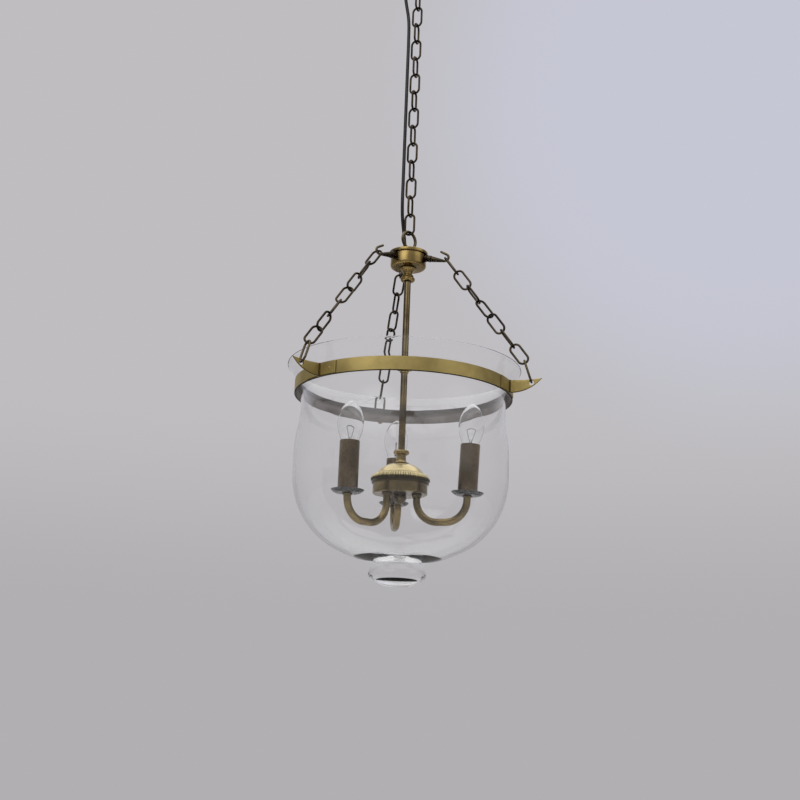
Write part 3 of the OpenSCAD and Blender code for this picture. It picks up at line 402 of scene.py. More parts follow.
# Painted shade along the lower edges of the band and the ears.
edge_shade_brass = metal("edge_shade_brass", (44, 38, 26), (14, 12, 8), (0.4, 0.5), 0.4, (1, 1, 8), 0.12)
band_inside = metal("band_inside", (152, 144, 140), (80, 72, 68), (0.3, 0.44), 0.5, (1, 1, 8), 0.15)
bronze = metal("dark_bronze", (76, 66, 52), (8, 7, 6), (0.16, 0.28), 0.7, (1, 1, 1), 0.3)
sleeve_bronze = metal("sleeve_bronze", (122, 107, 86), (34, 27, 19), (0.22, 0.34), 0.5, (40, 40, 1), 0.4)
pewter = metal("pewter", (86, 85, 85), (32, 32, 34), (0.2, 0.32), 0.4, (1, 1, 1), 0.15)
steel = metal("zinc_steel", (190, 190, 186), (110, 110, 108), (0.3, 0.45), 0.4)
rubber = plastic("black_rubber", (20, 20, 20), (10, 10, 10), 0.45)
ivory = plastic("ivory_plastic", (226, 222, 208), (214, 209, 192), 0.4)
lead_cover = plastic("lead_cover", (170, 146, 106), (150, 126, 88), 0.5)
socket_plastic = plastic("socket_plastic", (222, 219, 210), (205, 201, 190), 0.45)
jar_glass = glass("jar_glass", (255, 255, 255), 0.05, 9)
bulb_glass = glass("bulb_glass", (255, 255, 255))
mount_glass = glass("mount_glass", (246, 250, 250))
filament_metal = metal("filament_metal", (96, 92, 86), (40, 38, 36), (0.3, 0.4), 0.3, (1, 1, 1), 0.1)

make_camera()

# Flex: middle line as in the CAD source, each point x, y and its share of the way down
flex_d, flex_steps = 5, 90
grip_drop, bush_h = 8, 3
flex_top = canopy_foot - grip_drop
flex_end = lid_z + bush_h
flex_route = [
    (-22, 0, 0), (-22, 0, 0.03), (-18, 0, 0.09), (-13, 0, 0.16), (-12, 0, 0.24), (-12, 0, 0.32),
    (-12, 0, 0.4), (-12, 0, 0.5), (-12, 0, 0.6), (-12, 0, 0.68), (-12, 0, 0.76), (-12, 1, 0.83),
    (-11, 5, 0.88), (-8, 11, 0.93), (-6, 13, 0.97), (-6, 13, 1),
]


def flex_point(share):
    """A point of the smooth curve through the route's points, at that share of the way down."""
    last = len(flex_route) - 1
    i = max(k for k in range(last) if flex_route[k][2] <= share)
    a, b, c, d = (Vector(flex_route[k]) for k in (max(i - 1, 0), i, i + 1, min(i + 2, last)))
    width = c.z - b.z
    t = (share - b.z) / width
    start, end = (c - a) / (c.z - a.z), (d - b) / (d.z - b.z)
    p = (b * (2 * t ** 3 - 3 * t ** 2 + 1) + start * width * (t ** 3 - 2 * t ** 2 + t)
         + c * (3 * t ** 2 - 2 * t ** 3) + end * width * (t ** 3 - t ** 2))
    return Vector((p.x, p.y, flex_top + (flex_end - flex_top) * share))


def make_flex(name, start, end, node):
    path = [flex_point(start + (end - start) * i / flex_steps) for i in range(flex_steps + 1)]
    flex = piece(name, tube(path, flex_d / 2, 20), rubber, None, [node])
    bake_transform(flex)


make_flex("flex_cord_upper", 0, 0.5, "flex_upper")
make_flex("flex_cord_lower", 0.5, 1, "flex_lower")

# Chains. Turns are about the chain's line, in degrees.
link_len, link_w, wire = 35.3, 17.5, 3.2
link_gap, link_steps, link_sides = 0.15, 20, 18
link_mid = link_len - wire
pitch = link_mid - wire - link_gap
loop_d, loop_bar, loop_post, loop_collar_r = 30, 4.5, 5.4, 7.4
susp_links = 14
susp_turn = -24
loop_turn = 44
side_links = 8
link_turns = {
    "rear": [0, 77, 154, 231, 309, 386, 463, 540],
    "left": [-20, 35, 90, 145, 200, 255, 311, 372],
    "right": [0, 90, 163, 220, 277, 350, 440, 530],
}


def chain_link():
    """One link: the middle of its top wire at the origin, its length down -Z, its width along X."""
    r, run = (link_w - wire) / 2, link_len - link_w
    upper = arc((0, -r), r, 0, 180, link_steps)
    lower = arc((0, -r - run), r, 180, 360, link_steps)
    return tube([(x, 0, z) for x, z in upper + lower], wire / 2, link_sides, closed=True)


def screwed_loop(up, azimuth):
    """A ring on a screwed collar that stands on the origin. up is 1, or -1 for one that hangs."""
    collar = eased([
        (0, 0), (loop_collar_r, 0), (loop_collar_r, loop_post), (4.6, loop_post + 1.4),
        (4, loop_post + 2.6), (0, loop_post + 3),
    ], 0.5)
    line = arc((0, loop_post + loop_d / 2), (loop_d - loop_bar) / 2, 0, 360, 72)[:-1]
    ring = tube([(x, 0, z) for x, z in line], loop_bar / 2, 24, closed=True)
    made = joined(revolved(collar, 64), moved(ring, turn_about("Z", azimuth)))
    return moved(made, Matrix.Diagonal((1, 1, up, 1)))


def make_suspension():
    canopy_loop = moved(screwed_loop(-1, susp_turn + 90 * susp_links), shift(0, 0, canopy_foot))
    piece("canopy_eye", canopy_loop, brass, "canopy_body", ["canopy_loop"])
    ring_z = canopy_foot - loop_post - loop_d + loop_bar / 2
    start = ring_z + loop_bar / 2 + wire / 2 + link_gap
    links = []
    for i in range(susp_links):
        turn = susp_turn + 90 * (susp_links - 1 - i)
        links.append(moved(chain_link(), shift(0, 0, start - i * pitch) @ turn_about("Z", turn)))
    piece("hanging_chain", joined(*links), bronze, "suspension", ["suspension_chain"])
    eye = moved(screwed_loop(1, loop_turn), shift(0, 0, lid_z))
    piece("lamp_eye", eye, hook_brass, "lamp", ["hanging_loop"])


make_suspension()

# Hooks and side chains
hub_r = 25.8
hook_turns = {"rear": 101.2, "left": 221.2, "right": 341.2}
hook_reach, hook_droop, hook_wire, curl_r = 55.5, 14, 3.6, 5.2
curl_z = hub_z + 11.5
curl_start, curl_end, tip_len = 270 - hook_droop, 62 + 360, 9.6
rib_r, rib_pitch, rib_depth = 4.9, 2.4, 1.3
ear_turns = {"rear": 102, "left": 223.5, "right": 338.5}
ear_hole_r, ear_hole_d = 185, 7.2
ear_hole_z = band_top - 6.4
rim_gap, hook_gap = 0.1, 0.4
rim_lean = link_w / 2 + rim_gap
hook_seat = curl_r - hook_wire / 2 - wire / 2 - hook_gap
upper_reach = hook_seat + (side_links - 1) * pitch


def polar(radius, degrees, height):
    a = math.radians(degrees)
    return Vector((radius * math.cos(a), radius * math.sin(a), height))


def make_hook(side):
    """The curl's wire, and the ribbed shank that tapers into it."""
    wire_r = hook_wire / 2
    centre = Vector((hook_reach, 0, curl_z))
    curl = [centre + Vector((x, 0, z)) for x, z in arc((0, 0), curl_r, curl_start, curl_end, 40)]
    onward = (curl[-1] - curl[-2]).normalized()
    tip = [
        (3, wire_r), (6, wire_r), (8, wire_r), (tip_len, wire_r),
        (tip_len + 0.9, wire_r * 0.86), (tip_len + 1.5, wire_r * 0.5), (tip_len + 1.8, 0.1),
    ]
    radii = [wire_r] * len(curl) + [radius for _, radius in tip]
    curl += [curl[-1] + onward * reach for reach, _ in tip]
    place = turn_about("Z", hook_turns[side])
    piece("hook_curl_" + side, moved(tube(curl, radii, 20), place), hook_brass, "lamp", ["hook_" + side])
    inward = Vector((-math.cos(math.radians(hook_droop)), 0, math.sin(math.radians(hook_droop))))
    length = (curl[0].x - hub_r) / -inward.x
    flange_r, root_r = rib_r + 0.7, rib_r - rib_depth
    profile = [(-0.6, wire_r + 0.05), (0, wire_r + 0.1), (length - 10.6, rib_r - 0.6)]
    for i in (2, 1, 0):
        end = length - rib_pitch * i
        profile += [(end - 2 * rib_pitch, root_r), (end - 4.2, rib_r), (end - 3, rib_r),
                    (end - rib_pitch, root_r)]
    profile += [(length - rib_pitch, flange_r), (length + 0.6, flange_r)]
    outline = [(r, z) for z, r in eased(profile, 0.35)]
    turned = revolved([(0, outline[0][1])] + outline + [(0, outline[-1][1])], 40)
    shank = moved(turned, place @ frame_along(curl[0], -inward))
    piece("hook_shank_" + side, shank, bronze, "lamp", ["hook_" + side])


def make_side_chain(side):
    hook = polar(hook_reach, hook_turns[side], curl_z)
    ear = polar(ear_hole_r, ear_turns[side], ear_hole_z)
    straight = (ear - hook).normalized()
    level = Vector((-straight.y, straight.x, 0)).normalized()
    joint = hook + straight * math.sqrt(upper_reach ** 2 - rim_lean ** 2) + straight.cross(level) * rim_lean
    along = (joint - hook).normalized()
    run = frame_along(hook + along * hook_seat, along)
    turns = link_turns[side]
    links = [
        moved(chain_link(), run @ shift(0, 0, -i * pitch) @ turn_about("Z", -turns[i]))
        for i in range(side_links - 1)
    ]
    body = "side_chain_" + side
    piece("link_run_" + side, joined(*links), bronze, body, ["chain_" + side])
    last = frame_along(joint, (ear - joint).normalized()) @ turn_about("Z", -turns[-1])
    piece("ear_link_" + side, moved(chain_link(), last), hook_brass, body, ["end_link_" + side])


for side in SIDES:
    make_hook(side)
    make_side_chain(side)

# Hub, necks and stem
lid_r, lid_h, sheet, fit = 28.3, 4.4, 1.6, 0.05
stem_r, stem_wall = 9.5 / 2, 1


def make_hub():
    """A cup, a lid that laps over it, and the bush where the flex goes in."""
    hub_top, lap_r = lid_z - sheet, hub_r + fit
    lid = eased([
        (0, lid_z), (lid_r, lid_z), (lid_r, lid_z - lid_h), (lap_r, lid_z - lid_h), (lap_r, hub_top),
        (0, hub_top),
    ], 0.9, 4)
    piece("lid", revolved(lid, 128), brass, "lamp", ["hub_lid"])
    inner_r, floor = hub_r - sheet, hub_z + sheet
    cup = [(0, hub_z), (hub_r, hub_z), (hub_r, hub_top), (inner_r, hub_top), (inner_r, floor), (0, floor)]
    cup = eased(cup, 4, 6)
    piece("cup", revolved(cup, 128), brass, "lamp", ["hub_cup"])
    bore = flex_d / 2
    bush = eased([(bore, flex_end), (3.9, flex_end), (5.3, lid_z), (bore, lid_z)], 0.4)
    piece("bush", revolved(bush, 48, closed=True), rubber, "lamp", ["lid_bush"],
          place=shift(*flex_route[-1][:2], 0))


def make_hub_neck():
    """A flange, a waist and two beads."""
    z = hub_z
    neck = [(0, z), (12, z), (12, z - 1.6), (10.9, z - 1.6)]
    neck += arc((14.2, z - 9.8), 8, 128, 180, 10) + [(6.4, z - 11)]
    neck += arc((6.4, z - 13), 2, 80, -80, 12) + arc((7.4, z - 17.4), 3.1, 80, -80, 16)
    neck += [(6.2, neck_z), (0, neck_z)]
    piece("hub_turning", revolved(eased(neck, 0.3), 96), brass, "lamp", ["hub_neck"])


def make_coupler():
    """An urn over a beaded foot."""
    z = coupler_z
    urn = [(0, z), (5.6, z), (6.3, z + 0.7), (6.3, z + 1.9), (5.7, z + 2.6), (6.9, z + 3.1)]
    urn += [(12.2, z + 5.2), (12.2, z + 8.5), (11, z + 8.5), (11, z + 9.6)]
    urn += arc((3, z + 14.6), 9.6, -30, 42, 16) + [(6.4, z + 21.8), (6.4, z + 23), (0, z + 23)]
    piece("urn_coupler", revolved(eased(urn, 0.4), 96), antique, "lamp", ["stem_coupler"])


def make_cluster_neck():
    """A bead, a waist, and a bell foot that is undercut over the dome."""
    z = collar_z
    neck = [(0, z + 18), (7, z + 18)] + arc((7.9, z + 14.6), 3.2, 80, -80, 16)
    neck += [(7, z + 10.6), (6.65, z + 9), (6.75, z + 6.6)] + arc((14.6, z + 5.2), 7.6, 182, 222, 12)
    neck += [(11.2, z), (11.4, z - 0.4), (11.2, z - 0.8), (10, z - 0.9), (10, z - 2), (0, z - 2)]
    piece("cluster_turning", revolved(eased(neck, 0.3), 96), antique, "lamp", ["cluster_neck"])


def make_stem(name, node):
    low, high, bore = foot(node), top(node), stem_r - stem_wall
    wall = [(bore, low), (stem_r, low), (stem_r, high), (bore, high)]
    piece(name, revolved(wall, 64, closed=True), stem_brass, "lamp", [node])


make_hub()
make_hub_neck()
make_coupler()
make_cluster_neck()
make_stem("stem_upper", "upper_stem")
make_stem("stem_lower", "lower_stem")

# Candle cluster. edge_roll is the outer line of the dome's leaves, its heights from the foot of the neck.
cup_r, edge_r, gadroons, tie_r = 37.9, 41.2, 36, 4.05
dome_top, dome_arc = collar_z - 2, 27.6
dome_centre = (9.2, dome_top - dome_arc)
edge_roll = [
    (34.6, -16.7), (35.6, -16.8), (37, -17.5), (38.2, -18.4), (39.3, -19.6), (40.2, -21), (40.8, -22.3),
    (edge_r, -23.4), (edge_r, -24.4), (41, -25.2), (40.6, -25.8), (40.2, -26.3),
]
groove_depth, vein_depth, vein_w = 1.7, 1.3, 0.08
# leaf_top ends the crown's painted highlight. Painted light reaches lobe_foot below the collar on a lobe
# (lobe_bulge more where it swells past lobe_from) and valley_foot in a valley; painted shade is below.
leaf_top = dome_top - 13.9
lobe_foot, lobe_bulge, lobe_from, valley_foot = 20.6, 2.6, 0.4, 17.6


def make_dome():
    """A dome with a ring of leaves round it: grooves between them, and a vein along the middle of each."""
    head = [(tie_r, dome_top), (8, dome_top)] + arc(dome_centre, dome_arc, 85, 31, 24)
    head += [(33.3, dome_top - 13.7), (33.4, dome_top - 14), (33.1, dome_top - 14.8), (33.6, dome_top - 15)]
    leaves = [(r, collar_z + z) for r, z in edge_roll]
    skirt = [(38.7, collar_z - 26.5), (38.7, dome_z + 2.2), (39.5, dome_z + 1.9), (39.8, dome_z + 1.4),
             (39.6, dome_z + 0.8), (39.1, dome_z), (cup_r + 0.1, dome_z)]
    inside = [(cup_r + 0.1, dome_z + 2.6), (36, dome_z + 4), (35.8, collar_z - 20), (32.2, dome_top - 15.2)]
    inside += arc(dome_centre, dome_arc - sheet, 34, 85, 12) + [(tie_r, dome_top - sheet)]
    first, last = len(head), len(head) + len(leaves) - 1

    def leaf(turn, index, radius):
        if not first + 1 <= index <= last:
            return radius
        along = (index - first) / (last - first)
        depth = min(1, 4 * along, 2.5 * (1 - along) + 0.35)
        across = turn * gadroons / (2 * math.pi) % 1
        groove = abs(math.sin(math.pi * across)) ** 0.55
        vein = math.exp(-((across - 0.5) / vein_w) ** 2)
        return radius - depth * (groove_depth * (1 - groove) + vein_depth * vein)

    made = revolved(head + leaves + skirt + inside, 1080, wave=leaf)
    dome = piece("dome", made, dome_painted_light, "lamp", ["cluster_dome"], sharp=50)
    dome.data.materials.append(leaf_painted_light)
    dome.data.materials.append(leaf_painted_shade)
    for face in dome.data.polygons:
        # The vein parts a gadroon into two lobes. Each lobe has painted light down to a scalloped line,
        # painted shade below.
        across = math.atan2(face.center.y, face.center.x) * gadroons / math.pi % 1
        swell = math.sin(math.pi * across)
        painted_light_to = lobe_foot + lobe_bulge * swell if swell > lobe_from else valley_foot
        if face.center.z < (collar_z - painted_light_to) * MM:
            face.material_index = 2
        elif face.center.z < leaf_top * MM:
            face.material_index = 1


def make_arm_cup():
    inner_r, cup_top = cup_r - sheet, dome_z + 2.5
    cup = eased([
        (tie_r, cup_z), (cup_r, cup_z), (cup_r, cup_top), (inner_r, cup_top), (inner_r, cup_z + sheet),
        (tie_r, cup_z + sheet),
    ], 2, 5)
    piece("arm_cup", revolved(cup, 128), arm_brass, "lamp", ["cluster_cup"])


def make_finial():
    ball_r, mid = 9.2, cup_z - 4
    ball = [(0, mid - ball_r)] + arc((0, mid), ball_r, -88, 25.6, 28) + [(0, cup_z - 0.02)]
    piece("ball_finial", revolved(ball, 72), finial_brass, "lamp", ["finial"])


make_dome()
make_arm_cup()
make_finial()

# Arms and candles: azimuth, dip below the cup, lean, rise of the pan's rim, and how much bulb shows
arms = {
    "rear": (95, 39.2, 0, 42, 59),
    "left": (224, 44.3, 0, 38.6, 55),
    "right": (341, 38.4, 2.5, 41.8, 57),
}
arm_r, arm_foot_r, candle_r, arm_bend = 10 / 2, 24.5, 95.5, 30
pan_r, pan_h, pan_t, rim_wire = 21.9, 5, 1, 0.55
sleeve_r, sleeve_len, sleeve_wall = 26.6 / 2, 69, 1.2
sleeve_top = pan_t + sleeve_len
bulb_r, bulb_len, bulb_wall = 35.5 / 2, 71.5, 0.8
bulb_wide, bulb_neck_r, cap_len, cap_r = bulb_len * 0.457, 8.4, 24, 7
thread_turns, thread_pitch, thread_top = 6, 2.8, 20
filament_w, filament_z, filament_bow = 12.8, 35, 2.2
coil_steps, coil_turn, coil_r = 140, 0.9, 0.45


def candle_frame(side):
    """Frame of a candle: its origin in the middle of the drip pan's floor."""
    turn, dip, lean, rise, _ = arms[side]
    return (turn_about("Z", turn) @ shift(candle_r - arm_bend, 0, cup_z - dip + arm_bend)
            @ turn_about("Y", lean) @ shift(arm_bend, 0, rise - arm_bend - pan_h))


def make_arm(side):
    """A tube that dips and rises to the candle, with a stepped collar at the cup and a ring under the pan."""
    turn, dip, lean, _, _ = arms[side]
    bend_z = cup_z - dip + arm_bend
    to_candle = turn_about("Z", -turn) @ candle_frame(side)
    path = [(arm_foot_r, 0, z) for z in (cup_z + 5, cup_z - 2, bend_z)]
    path += [(x, 0, z) for x, z in arc((arm_foot_r + arm_bend, bend_z), arm_bend, 184, 270, 28)]
    path += [(x, 0, z) for x, z in arc((candle_r - arm_bend, bend_z), arm_bend, 270, 360 - lean, 30)]
    path.append(to_candle @ Vector((0, 0, 4)))
    wide, narrow = arm_r + 2.1, arm_r + 1.3
    collar = eased([
        (arm_r, cup_z), (wide, cup_z), (wide, cup_z - 2.4), (narrow, cup_z - 2.4), (narrow, cup_z - 4.8),
        (arm_r, cup_z - 4.8),
    ], 0.5)
    ring = eased([(arm_r, 0), (arm_r + 1.5, 0), (arm_r + 1.5, -2.2), (arm_r, -2.2)], 0.5)
    made = joined(
        tube(path, arm_r, 32),
        moved(revolved(collar, 48), shift(arm_foot_r, 0, 0)),
        moved(revolved(ring, 48), to_candle),
    )
    piece("bent_arm_" + side, moved(made, turn_about("Z", turn)), arm_brass, "lamp", ["arm_" + side])


def make_candle(side):
    """A drip pan, dished up to a round rim, and the sleeve that stands in it."""
    place = candle_frame(side)
    flat, steps = sleeve_r + 0.7, 10
    outer = [(flat + (pan_r - flat) * i / steps, (pan_h - 0.6) * (i / steps) ** 2) for i in range(1, steps)]
    inner = [(flat + (pan_r - 1.3 - flat) * i / steps, pan_t + (pan_h - pan_t - 0.4) * (i / steps) ** 2)
             for i in range(steps - 2, -1, -1)]
    rim = arc((pan_r - rim_wire, pan_h - rim_wire), rim_wire, -20, 200, 8)
    pan = [(arm_r, 0), (flat, 0)] + outer + rim + inner + [(arm_r, pan_t)]
    piece("pan_" + side, revolved(pan, 96), pewter, "lamp", ["drip_pan_" + side], place)
    bore = sleeve_r - sleeve_wall
    sleeve = eased([(bore, pan_t), (sleeve_r, pan_t), (sleeve_r, sleeve_top), (bore, sleeve_top)], 0.3)
    piece("sleeve_" + side, revolved(sleeve, 96, closed=True), sleeve_bronze, "lamp",
          ["candle_sleeve_" + side], place)


def bulb_outline(wide, tip, low, neck):
    """A pointed candle shape over a tapering neck, with its widest place at height 0."""
    upper, lower = [], []
    for i in range(41):
        k = 1 - (i / 40) ** 1.6
        upper.append((wide * max(0, 1 - k ** 2.1) ** 0.66, k * tip))
    for i in range(1, 25):
        taper = (math.cos(math.pi * i / 24) + 1) / 2
        lower.append((neck + (wide - neck) * taper, -low * i / 24))
    return upper + lower


def bulb_foot(side):
    """Height of a bulb's lower end of glass in its candle's frame."""
    return sleeve_top + arms[side][-1] - bulb_len


def make_bulb(side):
    """The clear envelope and its screw cap."""
    place, body, foot_z = candle_frame(side), "bulb_" + side, bulb_foot(side)
    low = bulb_len - bulb_wide
    outer = bulb_outline(bulb_r, bulb_wide, low, bulb_neck_r)
    inner = bulb_outline(bulb_r - bulb_wall, bulb_wide - bulb_wall, low, bulb_neck_r - bulb_wall)
    shell = [(r, z + foot_z + low) for r, z in outer + inner[::-1]]
    piece("envelope_" + side, revolved(shell, 96), bulb_glass, body, ["bulb_glass_" + side],
          place)
    cap = [(0, cap_len), (bulb_neck_r - bulb_wall - fit, cap_len), (cap_r - 0.2, cap_len - 1)]
    for i in range(thread_turns):
        z = thread_top - thread_pitch * i
        cap += [(cap_r - 0.5, z), (cap_r - 0.1, z - 0.4), (cap_r, z - 0.8), (cap_r - 0.1, z - 1.8)]
    cap += [(5, 2.4), (2.4, 1.4), (2.4, 0), (0, 0)]
    piece("screw_cap_" + side, revolved([(r, z + foot_z - cap_len) for r, z in cap], 64), brass, body,
          ["bulb_cap_" + side], place)


def make_mount(side):
    """The bulb's glass mount, and on it two wires with their beads and a coiled filament."""
    place, body, foot_z = candle_frame(side), "bulb_" + side, bulb_foot(side)
    stem = [(r, foot_z + z) for r, z in (
        (0, 0.05), (4.6, 0.05), (4.2, 3), (2.6, 8), (1.9, 13), (1.7, 17), (1.7, 21), (1.2, 22), (0, 22))]
    piece("mount_" + side, revolved(stem, 40), mount_glass, body, ["bulb_mount_" + side], place)
    bead = [(0, -0.9), (0.6, -0.9), (0.75, 0), (0.6, 0.9), (0, 0.9)]
    wires = []
    for way in (-1, 1):
        end = (way * filament_w / 2, 0, foot_z + filament_z)
        wires.append(tube([(way, 0, foot_z + 17), end], 0.3, 10))
        wires.append(moved(revolved(bead, 12), shift(way * 1.2, 0, foot_z + 18)))
    coil = []
    for i in range(coil_steps + 1):
        rise = foot_z + filament_z + filament_bow * math.sin(math.pi * i / coil_steps)
        x = -filament_w / 2 + filament_w * i / coil_steps
        coil.append((x, coil_r * math.cos(i * coil_turn), rise + coil_r * math.sin(i * coil_turn)))
    wires.append(tube(coil, 0.14, 6))
    piece("filament_" + side, joined(*wires), filament_metal, body, ["bulb_mount_" + side],
          place)


for side in SIDES:
    make_arm(side)
    make_candle(side)
    make_bulb(side)
    make_mount(side)

# Glass jar: flare, shoulder, belly, round bottom and the knob under it
rim_r, neck_r, belly_r, jar_h, jar_wall = 164.6, 143, 148.9, 274, 4
flare_h, belly_top, corner_r, bottom_r = 62, 125, 110, 196.5
flare_w = rim_r - neck_r
flare_arc = (flare_w ** 2 + flare_h ** 2) / (2 * flare_w)
shoulder_h = belly_top - flare_h
shoulder_arc = (shoulder_h ** 2 + (belly_r - neck_r) ** 2) / (4 * (belly_r - neck_r))
shoulder_turn = math.degrees(math.asin(shoulder_h / 2 / shoulder_arc))
corner_span = math.sqrt((bottom_r - corner_r) ** 2 - (belly_r - corner_r) ** 2)
corner_z = bottom_r - corner_span - jar_h
corner_end = -math.degrees(math.atan2(corner_span, belly_r - corner_r))
knob_r, knob_h, knob_neck_r, knob_below = 39.1, 29, 31, 16.5
knob_top = bottom_r - math.sqrt(bottom_r ** 2 - knob_neck_r ** 2)
knob_wide = knob_below - knob_h
base_r, base_t = 58, 11
lip_share, lip_taper = 0.4, 32


def flare_radius(z):
    """Outer radius of the flare at a height, counted from the rim."""
    return neck_r + flare_arc - math.sqrt(flare_arc ** 2 - (flare_h + z) ** 2)


def jar_line(inset, last_turn=-90):
    """Outline from the rim to the axis, or to a given turn of the bottom, moved in by inset."""
    flare = flare_arc + inset
    line = arc((neck_r + flare_arc, -flare_h), flare, 180 - math.degrees(math.asin(flare_h / flare)), 180, 30)
    line += arc((neck_r + shoulder_arc, -flare_h), shoulder_arc + inset, 180, 180 + shoulder_turn, 12)[1:]
    line += arc((belly_r - shoulder_arc, -belly_top), shoulder_arc - inset, shoulder_turn, 0, 12)[1:]
    line += arc((belly_r - corner_r, corner_z), corner_r - inset, 0, corner_end, 40)[1:]
    line += arc((0, bottom_r - jar_h), bottom_r - inset, corner_end, last_turn, 24)[1:]
    return line


def knob_line():
    """The knob, an oval that is steeper above its widest place than below it."""
    neck_turn = math.acos(knob_neck_r / knob_r)
    above = (knob_top - knob_wide) / math.sin(neck_turn)
    turns = [neck_turn * (1 - i / 20) for i in range(21)]
    line = [(knob_r * math.cos(t), knob_wide + above * math.sin(t) - jar_h) for t in turns]
    turns = [math.pi / 2 * i / 32 for i in range(1, 33)]
    return line + [(knob_r * math.cos(t), knob_wide - knob_below * math.sin(t) - jar_h) for t in turns]


def inner_line():
    """The inside, flat over the knob, where the glass is thick. The wall grows thin towards the rim."""
    line = jar_line(jar_wall, -math.degrees(math.acos(base_r / (bottom_r - jar_wall))))
    edge_z = line[-1][1]
    swell = base_t - jar_h - edge_z
    turns = [math.pi / 2 * i / 16 for i in range(1, 17)]
    line += [(base_r * (1 - 2 * t / math.pi), edge_z + swell * math.sin(t)) for t in turns]
    slim = []
    for r, z in line:
        if z > -flare_h:
            edge = flare_radius(z)
            r = edge - (edge - r) * min(1, lip_share - z / lip_taper)
        slim.append((r, z))
    return slim


def make_jar():
    outer = jar_line(0, -math.degrees(math.acos(knob_neck_r / bottom_r))) + knob_line()[1:]
    inner = inner_line()
    half = (outer[0][0] - inner[0][0]) / 2
    lip = arc((outer[0][0] - half, -half), half, 165, 15, 8)
    outline = lip + [p for p in outer + inner[::-1] if p[1] < -half]
    made = moved(revolved(outline, 256, closed=True), shift(0, 0, rim_z))
    piece("jar", made, jar_glass, "bowl", ["glass_jar"], sharp=70)


make_jar()

# Band with its rivets, and the ears
band_drop, band_t, ear_t = 23, 1.8, 1.2
band_in = flare_radius(-band_drop) + 0.3
band_out = band_in + band_t
ear_in, ear_out = band_out + fit, band_out + fit + ear_t
ear_tip_r, ear_tab, ear_mouth, rivet_turn = 199, 11, 3, 7
ear_foot, ear_tall = band_foot + 0.5, band_top - band_foot - 1
ear_flat, ear_bend, bend_steps = 5, 2.2, 6
ear_root = ear_out - ear_t / 2
horn_arc, horn_hollow, horn_steps = 55, 1.2, 26
# Share of the height, from the foot, that is painted shade along the lower edge of the band and the ears.
edge_shade_share = 0.05


def make_band():
    # Painted shade: a dark strip along the band's lower edge, and on the rim under it.
    shade_top = band_foot + edge_shade_share * (band_top - band_foot)
    hoop = eased([
        (band_in, band_foot), (band_out, band_foot), (band_out, shade_top), (band_out, band_top),
        (band_in, band_top),
    ], 0.35)
    several = [revolved(hoop, 256, closed=True)]
    rivet = [(0, 0.9), (0.7, 0.8), (1.3, 0.5), (1.7, 0), (1.7, -0.4), (0, -0.4)]
    for side in SIDES:
        for way in (-1, 1):
            seat = (turn_about("Z", ear_turns[side] + way * rivet_turn)
                    @ shift(ear_out, 0, (band_top + band_foot) / 2) @ turn_about("Y", 90))
            several.append(moved(revolved(rivet, 24), seat))
    hoop = piece("hoop", joined(*several), olive, "bowl", ["band"])
    hoop.data.materials.append(band_inside)
    hoop.data.materials.append(edge_shade_brass)
    for face in hoop.data.polygons:
        if math.hypot(face.center.x, face.center.y) < (band_in + 0.3) * MM:
            face.material_index = 1
        elif face.center.z < shade_top * MM:
            face.material_index = 2


def horn_low(r):
    """Height of an ear's lower edge at a radius: level at first, then curving up."""
    out = max(0, r - ear_root - ear_flat)
    return ear_foot + horn_arc - math.sqrt(horn_arc ** 2 - out ** 2)


def horn_high(r):
    """Height of its upper edge, which falls to the tip with a slight hollow."""
    t = min(1, max(0, (ear_tip_r - r) / (ear_tip_r - ear_root)))
    tip_z = horn_low(ear_tip_r)
    return tip_z + (ear_foot + ear_tall - tip_z) * t - horn_hollow * math.sin(math.pi * t)


